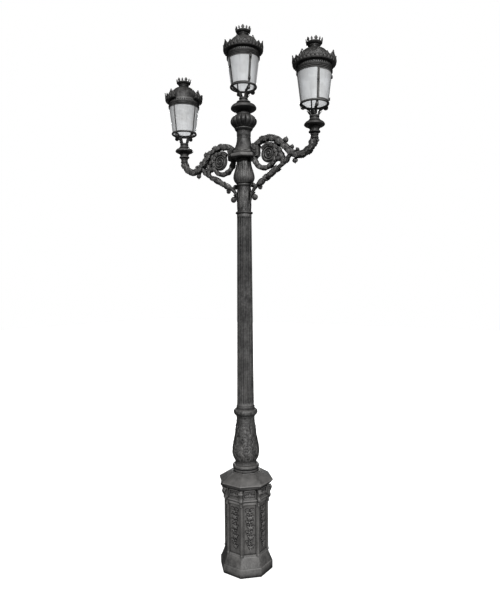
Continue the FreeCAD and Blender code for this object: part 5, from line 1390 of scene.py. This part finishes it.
        work.bar(lower, lambda share: 15 + 4 * share, 20, 0.95, carved)
        work.bar(upper, girth, 24, 0.95, carved)
        for along, radius in ((100, 27), (108, 29), (98, 24), (261, 22)):
            ring = Outline(8, -4).to((radius - 3, -4)).swell(radius - 3, 4, 3, 6).to((8, 4))
            spot = knee + ahead * along
            work.put(work.lathe(ring.points, 40), at(*spot) @ spin_on("Y", 90 - self.brace_rise))
        riser = trail(knee + ahead * 318, 88, [(240, 38), 66], 5)
        work.bar(riser, lambda share: 22 - 2 * share, 22, 0.9, carved)
        self.dress(work, riser, 20, 46, 56, 34)
        self.dress(work, upper, 24, 60, 66, 36, (0.03, 0.62))
        self.dress(work, upper, 18, 44, 50, 30, (0.66, 0.97))
        work.volute(27, 34, at(100, 0, 3669) @ spin_on("Y", 150))
        work.volute(24, 32, at(186, 0, 3633) @ spin_on("Y", -30))
        outer = trail(Vector((114, 0, 3663)), -10, [(70, -30)], 4)
        work.bar(outer, 13, 16)
        work.ball(1.0, at(124, 0, 3549), 14, (29, 27, 29), 8, 0.16)
        work.leaf(60, 40, at(92, 0, 3556) @ spin_on("Y", 24), 0.3, 4, 5)
        work.bar(trail(Vector((68, 0, 3493)), 80, [110], 5), lambda share: 7 + 9 * share, 16, 0.95, carved)
        self.done(work, "arm_brace")

    def leaves(self) -> None:
        """The crockets, the leaf tip under the elbow, the ears, and the curls of the root."""
        work = Work(f"{self.side}_crockets")
        top = self.root_z
        for x, z, radius, lean in ((462, top + 12, 27, 45), (527, top - 61, 21, 40), (584, top - 94, 19, 15)):
            work.ball(1.0, at(x, 0, z) @ spin_on("Y", lean), 14, (radius, radius * 0.9, radius), 7, 0.2)
            spot = at(x - 4, 0, z - radius * 0.9) @ spin_on("Y", lean - 14)
            work.leaf(radius * 1.9, radius * 1.5, spot, -0.35, 3, 5)
            eye = radius * 0.62
            for face in (-1, 1):
                work.volute(eye, 7, at(x + 3, face * eye, z + 2) @ spin_on("Y", lean), 1.3)
        work.ball(1.0, at(560, 0, top - 186), 14, (27, 17, 22), 6, 0.2)
        work.leaf(56, 34, at(540, 0, top - 168) @ spin_on("Y", 140), 0.25, 4, 5)
        for offset, lean in ((-46, -60), (33, 60)):
            work.ball(1.0, at(ARM_REACH + offset, 0, 3972), 12, (13, 11, 13), 6, 0.2)
            work.leaf(30, 20, at(ARM_REACH + offset * 0.6, 0, 3960) @ spin_on("Y", lean), 0.2, 3, 3)
        for face in (-1, 1):
            work.volute(26, 8, at(124, face * 34, top + 10) @ spin_on("Y", 40), 1.6)
        self.done(work, "arm_leaves")

    def saucer(self) -> None:
        """The cup and the saucer that carry the side lantern."""
        work = Work(f"{self.side}_saucer_casting")
        outline = Outline(STEM_BORE, 0).to((32, 0), (36, 3)).curve([(44, 6), (49, 10)], 4).swell(47, 21, 3, 6)
        outline.to((43, 24), (41, 30)).curve([(42, 38), (46, 45), (50, 50)], 4).swell(50, 58, 2, 5).to((52, 60))
        outline.curve([(64, 60), (80, 65), (87, 71)], 4).swell(88, 83, 3, 7).curve(
            [(83, 92), (72, 100), (58, 105)], 5).to((51, 108), (49, 110)).swell(47, 120, 3.5, 6)
        outline.to((43, 122), (43, 127), (STEM_BORE, 127))
        made = work.lathe(outline.points, 96)
        work.swell(made, lambda angle, level, reach: 1.3 * math.cos(16 * angle) - 1.0
                   if 60 < level < 72 and reach > 54 else 0)
        work.put(made, at(ARM_REACH, 0, CUP_FOOT))
        self.done(work, "arm_saucer", 34)


# Lanterns

@dataclass
class Lantern:
    """One lantern, modelled about its own axis with its seat at Z = 0 and its hinge rib towards +X."""

    palette: Palette
    name: str
    x: float
    seat: float
    turn: float
    lost: tuple[float, float] | None = None
    glass_foot: float = 135
    glass_head: float = 390
    slope: float = 32 / 255
    pane: float = 3
    slots: int = 54
    hinge_rises: tuple[float, float] = (34, 226)
    hinge_out: float = 11
    barrel: float = 5.5
    latch_rise: float = 160
    frame_out: float = 2.5
    frame_thick: float = 8

    @property
    def place(self) -> Matrix:
        """Where the lantern goes."""
        return at(self.x, 0, self.seat) @ turn_z(self.turn)

    @property
    def lean(self) -> float:
        """How far the glass leans out."""
        return math.degrees(math.atan(self.slope))

    def glass(self, level: float) -> float:
        """The outer radius of the glass at a level."""
        return 118 + self.slope * (level - self.glass_foot)

    def on_glass(self, level: float, out: float = 0.0) -> Matrix:
        """A place on the hinge rib, so far outside the glass and leaning with it."""
        return at(self.glass(level) + out, 0, level) @ spin_on("Y", self.lean)

    def build(self) -> None:
        """Builds and dresses the lantern's pieces."""
        self.foot()
        self.cage()
        self.panes()
        self.door()
        self.button()
        self.gallery()
        self.roof()
        self.crown()

    def done(self, work: Work, node: str, body: str = POST, crease: float = 34.0) -> None:
        """Finishes one iron piece of the lantern."""
        work.finish(self.palette.iron, body, [f"{self.name}_{node}"], self.place, crease)

    def foot(self) -> None:
        """The collar and the four scroll brackets."""
        work = Work(f"{self.name}_foot_casting")
        outline = Outline(STEM_BORE, 0).to((43, 0), (43, 3), (39, 5)).curve([(37, 9), (37, 13)], 3).to((41, 14))
        outline.swell(41, 26, 2, 6).to((38, 28), (35, 31), (26, 33), (STEM_BORE, 32))
        work.lathe(outline.points, 64)

        def bracket() -> None:
            """One bracket with its volute and leaf."""
            path = trail(Vector((31, 0, 30)), 60, [(84, 22), (34, -70)], 4)
            rest = Vector((119, 0, 121)) - path[-1]
            slope = math.degrees(math.atan2(rest.z, rest.x))
            path += trail(path[-1], slope, [math.hypot(rest.x, rest.z)], 4)[1:]
            work.bar(path, lambda share: 9.4 - 1.2 * share, 14, 1.25)
            work.volute(24, 24, at(103, 0, 98) @ spin_on("Y", 200))
            work.ball(1.0, at(*path[len(path) // 2 - 2]), 10, (13, 14, 13), 6, 0.2)
            work.leaf(50, 34, at(36, 0, 30) @ spin_on("Y", 26), 0.25, 4, 4, 2)
            work.leaf(38, 28, at(82, 0, 90) @ spin_on("Y", 62), 0.3, 3, 4, 2)

        work.around(4, bracket)
        self.done(work, "lantern_foot", crease=42)

    def cage(self) -> None:
        """The ring, the ribs, the vent band and the door's hinge pins."""
        work = Work(f"{self.name}_cage_casting")
        ring = Outline(117, 120).to((124, 120)).swell(124, 136, 5, 8).to((117, 136)).swell(117, 120, 5, 8)
        work.lathe(ring.points[:-1], 112)

        def rib() -> None:
            """One glazing rib with its bead."""
            length = 265 / math.cos(math.radians(self.lean))
            frame = self.on_glass(130)
            work.box((-6, -5.4, 0), (2.6, 5.4, length), 0.8, frame)
            work.bar([frame @ Vector((2.4, 0, z * length / 20)) for z in range(21)], 3.0, 10, 1.2)
            work.ball(1.0, frame @ at(1, 0, 4), 10, (8, 9, 9))
            work.box((-7, -8, length - 9), (5, 8, length - 1), 1.5, frame)

        work.around(4, rib)
        head = self.glass_head
        low = Outline(148, head).to((154, head)).swell(154, head + 9, 4, 6)
        low.to((151, head + 10), (151, head + 12))
        low.swell(153, head + 23, 6.5, 8).to((151, head + 24), (151, head + 26)).swell(153, head + 33, 4, 6)
        low.to((154, head + 35), (155, head + 42), (148, head + 42))
        work.lathe(low.points, 112)
        top = Outline(148, head + 60).to((155.6, head + 60), (155.6, head + 70), (148, head + 70))
        work.lathe(top.points, 112)
        half = math.pi * 152 / self.slots - 4.6
        work.around(self.slots, lambda: work.box((148, -half, head + 40), (157, half, head + 62), 0.0),
                    180 / self.slots)
        pin_length = 22.4
        for foot in self.hinge_rises:
            level = self.glass_foot + (foot - 8.4)
            frame = self.on_glass(level, self.hinge_out)
            work.rod(self.barrel, 8, frame, 24)
            work.rod(2.5, pin_length, frame, 16)
            work.ball(4.2, frame @ at(0, 0, pin_length + 1.6), 8)
            work.box((0, -5, 0), (self.hinge_out, 5, 8), 0.8, self.on_glass(level))
        level = self.glass_foot + self.latch_rise
        pin = at(0, -self.glass(level), level) @ spin_on("X", 90 + self.lean)
        work.rod(2.9, 9.5, pin, 16)
        work.rod(5, 1.4, pin @ at(0, 0, 9.5), 16)
        self.done(work, "lantern_frame", crease=30)

    def sheet(self, work: Work, low: float, high: float, out: float, thick: float, start: float,
              near: float, far: float, columns: int = 20, rows: int = 6, width: float | None = None) -> None:
        """A curved sheet along the glass, in one quarter.

        Args:
            work: The piece.
            low: Its lower level.
            high: Its upper level.
            out: How far its face lies outside the glass's.
            thick: Its thickness, inwards.
            start: The angle of the rib that the quarter starts at.
            near: Its first edge's distance from that rib's middle plane.
            far: Its last edge's distance from the next rib's middle plane.
            columns: Its divisions round.
            rows: Its divisions up.
            width: Where it is given, the sheet ends so far from its first edge, and far isn't used.
        """
        grid = bmesh.ops.create_grid(work.bm, x_segments=columns, y_segments=rows, size=1.0)["verts"]
        reach = max(abs(v.co.x) for v in grid)
        for vert in grid:
            across, up = (vert.co.x / reach + 1) / 2, (vert.co.y / reach + 1) / 2
            level = low + (high - low) * up
            radius = self.glass(level) + out
            first = math.asin(near / radius)
            last = math.asin((near + width) / radius) if width else math.pi / 2 - math.asin(far / radius)
            swung = math.radians(start) + first + (last - first) * across
            vert.co = Vector((radius * math.cos(swung), radius * math.sin(swung), level))
        faces = list(faces_of(grid))
        for face in faces:
            face.normal_update()
        if sum(face.normal.dot(face.calc_center_median()) for face in faces) < 0:
            bmesh.ops.reverse_faces(work.bm, faces=faces)
        bmesh.ops.solidify(work.bm, geom=faces, thickness=thick)

    def panes(self) -> None:
        """The three fixed panes."""
        work = Work(f"{self.name}_fixed_panes")
        for start in (0, 90, 180):
            self.sheet(work, self.glass_foot, self.glass_head, 0, self.pane, start, 5, 5, 24, 8)
        work.finish(self.palette.pane, POST, [f"{self.name}_lantern_glass"], self.place, 40)

    def door(self) -> None:
        """The door's frame with its hinge barrels, and its pane."""
        gap, edge, border, quarter = 2.5, 6.0, 9.0, 270
        low, high = self.glass_foot + gap, self.glass_head - gap
        sill, top = low + border, high - border
        work = Work(f"{self.name}_door_frame")
        for foot, head in ((low, sill), (top, high)):
            self.sheet(work, foot, head, self.frame_out, self.frame_thick, quarter, edge, edge, 20, 2)
        self.sheet(work, sill, top, self.frame_out, self.frame_thick, quarter, edge, 0, 2, 6, border)
        before = work.count()
        self.sheet(work, sill, top, self.frame_out, self.frame_thick, 0, edge, 0, 2, 6, border)
        work.put(work.since(before), Matrix.Diagonal((1, -1, 1, 1)))
        length = 14
        for foot in self.hinge_rises:
            frame = self.on_glass(self.glass_foot + foot, self.hinge_out)
            work.rod(self.barrel, length, frame, 24)
            work.box((-1.5, -15, 0), (1.5, 0, length), 0.5, frame)
            work.box((-self.hinge_out, -15, 0), (0, -10.5, length), 0.5, frame)
        body = f"{self.name}_door"
        self.done(work, "lantern_door", body, 30)
        pane = Work(f"{self.name}_door_pane")
        self.sheet(pane, sill, top, 0, self.pane, quarter, edge + border, edge + border, 20, 8)
        pane.finish(self.palette.pane, body, [f"{self.name}_door_glass"], self.place, 40)

    def button(self) -> None:
        """The turn button on the latch rib."""
        work = Work(f"{self.name}_turn_button")
        level, lean, out = self.glass_foot + self.latch_rise, math.radians(self.lean), 5.5
        spot = at(0, -self.glass(level) - out * math.cos(lean), level - out * math.sin(lean)) @ spin_on(
            "X", self.lean)
        work.box((-4, -4, -4), (4, 0, 20), 1.2, spot)
        outline = Outline(3.0, 0).to((4.6, 0), (4.6, 4.3), (7.6, 4.5)).swell(6.4, 9, 0.8, 4).to((3.0, 9))
        work.put(work.lathe(outline.points, 24), spot @ spin_on("X", 90))
        self.done(work, "lantern_button", f"{self.name}_button")

    def missing(self, angle: float) -> bool:
        """Whether an angle lies in the gallery's lost segment."""
        return self.lost is not None and self.lost[0] < angle < self.lost[1]

    def gallery(self) -> None:
        """The flared gallery of open fleurons."""
        work = Work(f"{self.name}_gallery_casting")
        dish = Outline(156, 452).to((158, 452)).curve([(168, 453), (178, 456)], 3).swell(183, 463, 1.5, 4).to(
            (183, 466)).curve([(185, 474), (187, 480)], 3).swell(187, 485, 1.5, 4).to((183, 485))
        dish.curve([(180, 474), (176, 465), (166, 461)], 4).to((156, 462))
        start, sweep = (self.lost[1], 360 - (self.lost[1] - self.lost[0])) if self.lost else (0.0, 360.0)
        made = work.lathe(dish.points, 160, phase=start, sweep=sweep)
        work.swell(made, lambda angle, level, reach: 1.2 * math.cos(32 * angle) - 0.6
                   if 464 < level < 482 and reach > 181 else 0)

        def arch(width: float, height: float, bar: float) -> None:
            """An open ogee with a leaf in it, standing on the dish's rim."""
            frame = at(184, 0, 479) @ spin_on("Y", 7)
            half = width / 2
            for side in (-1, 1):
                line = Outline(half * 0.9, 0).curve([(half, height * 0.16), (half * 0.92, height * 0.36),
                                                     (half * 0.55, height * 0.54), (half * 0.34, height * 0.74),
                                                     (0.5, height)], 4).points
                path = [Vector((reach * side, 0, level)) for reach, level in line]
                made = work.bar(path, lambda share: bar * (1 - 0.45 * share), 8, 0.9)
                work.put(made, frame @ turn_z(90))
            work.leaf(height * 0.8, width * 0.62, frame @ at(-2.5, 0, 0), 0.02, 3, 4, 2.5)
            for side in (-1, 1):
                spot = frame @ at(-1.5, side * half * 0.5, 0) @ spin_on("X", -side * 28)
                work.leaf(height * 0.42, width * 0.34, spot, 0.02, 3, 3, 2)
            work.ball(bar * 0.95, frame @ at(0, 0, height - 1), 8)

        work.around(8, lambda: arch(70, 58, 6.0), 0, self.missing)
        work.around(8, lambda: arch(64, 35, 5.4), CORNER, self.missing)
        fringe = at(182, 0, 459) @ spin_on("Y", 12)
        work.around(32, lambda: work.leaf(26, 30, fringe, 0.02, 3, 5, 2), CORNER / 4, self.missing)
        self.done(work, "lantern_gallery", crease=40)

    def roof(self) -> None:
        """The domed roof with shallow gadroons and its neck."""
        work = Work(f"{self.name}_roof_casting")
        outline = Outline(126, 460).to((156, 460), (156, 464)).curve(
            [(154, 472), (150, 490), (145, 508), (137, 529), (125, 549), (110, 569), (92, 585), (72, 595),
             (54, 600)], 5).to((49, 601), (46, 604)).swell(46, 610, 2.5, 5)
        outline.to((44, 612), (44, 617), (47, 619), (47, 622), (STEM_BORE, 622), (STEM_BORE, 598), (42, 598),
                   (86, 579), (117, 543), (136, 505), (143, 472), (126, 472))
        made = work.lathe(outline.points, 144)
        work.swell(made, lambda angle, level, reach: 1.8 * (abs(math.cos(12 * angle)) - 0.8) * max(
            0.0, math.sin(math.pi * (level - 470) / 124)) if 470 < level < 594 else 0)
        self.done(work, "lantern_roof")

    def crown(self) -> None:
        """The coronet of lozenges and thin points."""
        work = Work(f"{self.name}_crown_casting")
        outline = Outline(0.5, 622).to((46, 622), (50, 624)).swell(50, 630, 2.5, 4).curve(
            [(55, 634), (62, 640), (67, 648), (69, 656)], 4).to((64, 657)).curve([(58, 645), (42, 636)], 4)
        work.lathe(outline.to((0.5, 633)).points, 72, closed=False)
        work.ball(1.0, at(0, 0, 634), 10, (14, 14, 9))

        def point(width: float, rise: float, thick: float) -> None:
            """One pointed leaf."""
            frame = at(66, 0, 650) @ spin_on("Y", 13)
            half = width / 2
            line = Outline(half * 0.9, 0).curve([(half * 0.62, rise * 0.2), (half, rise * 0.52),
                                                 (half * 0.55, rise * 0.8), (1.0, rise)], 4).points
            stem = [Vector((0, 0, level)) for _, level in line]
            blade = work.bar(stem, thick, 8)
            for vert in blade:
                near = min(range(len(stem)), key=lambda k: abs(stem[k].z - vert.co.z))
                vert.co.y *= line[near][0] / thick
                vert.co.x *= 1 - 0.55 * (stem[near].z / rise)
            work.put(blade, frame)

        work.around(6, lambda: point(32, 40, 6.0), 30)
        work.around(6, lambda: point(19, 36, 5.0), 0)
        self.done(work, "lantern_crown", crease=40)


# The inner pieces that keep their solids

@dataclass
class InnerPieces:
    """The solids that are left as they are and only get their finishes."""

    palette: Palette
    nodes: dict[str, bpy.types.Object]

    def build(self) -> None:
        """Gives each solid its finish."""
        for name, material in (("anchor_flange", self.palette.flange), ("fuse_board", self.palette.board),
                               ("lampholders", self.palette.gear), ("lamp_bulbs", self.palette.lamp)):
            mesh = self.nodes[name].data
            if mesh.materials:
                for index in range(len(mesh.materials)):
                    mesh.materials[index] = material
            else:
                mesh.materials.append(material)
            LOG.info("%s: finished", name)


# Studio

@dataclass
class Studio:
    """The pale floor, the soft lights and the camera of the picture."""

    distance: float = 4.958
    azimuth: float = 35.07
    height: float = 2.682
    pitch: float = -1.232
    yaw: float = 0.573
    roll: float = -0.367
    focal: float = 515.3
    picture_height: float = 600
    sensor: float = 36.0
    floor_half: float = 30.0
    floor_glow: float = 0.92
    sky_far: float = 0.0
    sky_near: float = 0.20

    def build(self) -> None:
        """Builds the studio."""
        self.floor()
        self.sky()
        self.lights()
        self.camera()

    def floor(self) -> None:
        """The floor."""
        bm = bmesh.new()
        bmesh.ops.create_grid(bm, x_segments=2, y_segments=2, size=self.floor_half)
        mesh = bpy.data.meshes.new("studio_floor")
        bm.to_mesh(mesh)
        bm.free()
        s = Shading("pale_floor")
        cloud = s.speckle(1.3, 4, 0.5)
        base = s.blend(s.span(cloud, 0.4, 0.6), grey(0.17), grey(0.20))
        shader = s.add("ShaderNodeBsdfPrincipled", Base_Color=base, Roughness=0.9, Emission_Color=grey(1.0),
                       Emission_Strength=s.times(s.seen(), self.floor_glow))
        mesh.materials.append(s.done(shader.outputs[0]))
        floor = bpy.data.objects.new("studio_floor", mesh)
        bpy.context.scene.collection.objects.link(floor)
        floor.location.z = -MM

    def sky(self) -> None:
        """The pale surroundings."""
        s = Shading("pale_sky", world=True)
        turned = math.radians(self.azimuth)
        front = (math.sin(turned), -math.cos(turned), 0.35)
        facing = s.add("ShaderNodeVectorMath", {"operation": "DOT_PRODUCT"})
        s.feed(facing.inputs[0], s.place)
        s.feed(facing.inputs[1], front)
        lit = s.span(facing.outputs["Value"], -0.35, 0.9, self.sky_far, self.sky_near)
        strength = s.add("ShaderNodeMix", Factor=s.seen(), A=lit, B=1.0)
        glow = s.add("ShaderNodeBackground", Color=grey(1.0), Strength=strength.outputs[0])
        bpy.context.scene.world = s.done(glow.outputs[0])

    def lights(self) -> None:
        """A far key from the front and above, a softer one from behind, and a fill."""
        for name, kind, place, aim, measure, size, power in (
                ("key", "SUN", (5.4, -7.1, 7.3), (0, 0, 2.5), "angle", math.radians(6), 6.2),
                ("back", "SUN", (-5.7, 8.2, 6.5), (0, 0, 2.5), "angle", math.radians(20), 4.5),
                ("fill", "AREA", (7.5, 1.0, 3.0), (0, 0, 2.6), "size", 2.0, 120.0)):
            light = bpy.data.lights.new(name, kind)
            setattr(light, measure, size)
            light.energy = power
            lamp = bpy.data.objects.new(name, light)
            lamp.location = place
            lamp.rotation_euler = (Vector(aim) - Vector(place)).to_track_quat("-Z", "Y").to_euler()
            bpy.context.scene.collection.objects.link(lamp)

    def camera(self) -> None:
        """The camera, from the photograph's own view."""
        turned, pitch, yaw, roll = (math.radians(a) for a in (self.azimuth, self.pitch, self.yaw, self.roll))
        right = Vector((math.cos(turned), math.sin(turned), 0))
        ahead = Vector((-math.sin(turned), math.cos(turned), 0))
        place = -ahead * self.distance + Vector((0, 0, self.height))
        swung_right = right * math.cos(yaw) - ahead * math.sin(yaw)
        swung_ahead = right * math.sin(yaw) + ahead * math.cos(yaw)
        up = Vector((0, 0, 1))
        looking = swung_ahead * math.cos(pitch) + up * math.sin(pitch)
        top = up * math.cos(pitch) - swung_ahead * math.sin(pitch)
        side = swung_right * math.cos(roll) + top * math.sin(roll)
        top = top * math.cos(roll) - swung_right * math.sin(roll)
        data = bpy.data.cameras.new("photo_view")
        data.sensor_width = self.sensor
        data.lens = self.focal / self.picture_height * self.sensor
        camera = bpy.data.objects.new("photo_view", data)
        frame = Matrix((side, top, -looking)).transposed().to_4x4()
        frame.translation = place
        camera.matrix_world = frame
        bpy.context.scene.collection.objects.link(camera)
        bpy.context.scene.camera = camera


def main() -> None:
    """Builds the whole scene in order."""
    logging.basicConfig(level=logging.INFO, format="%(message)s")
    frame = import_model()
    view = bpy.context.scene.view_settings
    view.view_transform = "Standard"
    view.gamma = 0.8
    palette = Palette.mixed()
    Studio().build()
    Pedestal(palette).build()
    Column(palette).build()
    for side in ("left", "right"):
        Arm(palette, side).build()
    Lantern(palette, "left", x=-ARM_REACH, seat=SIDE_SEAT, turn=180, lost=LOST_SEGMENT).build()
    Lantern(palette, "centre", x=0, seat=CENTRE_SEAT, turn=-27).build()
    Lantern(palette, "right", x=ARM_REACH, seat=SIDE_SEAT, turn=40).build()
    InnerPieces(palette, frame["nodes"]).build()
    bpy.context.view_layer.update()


if __name__ == "__main__":
    main()
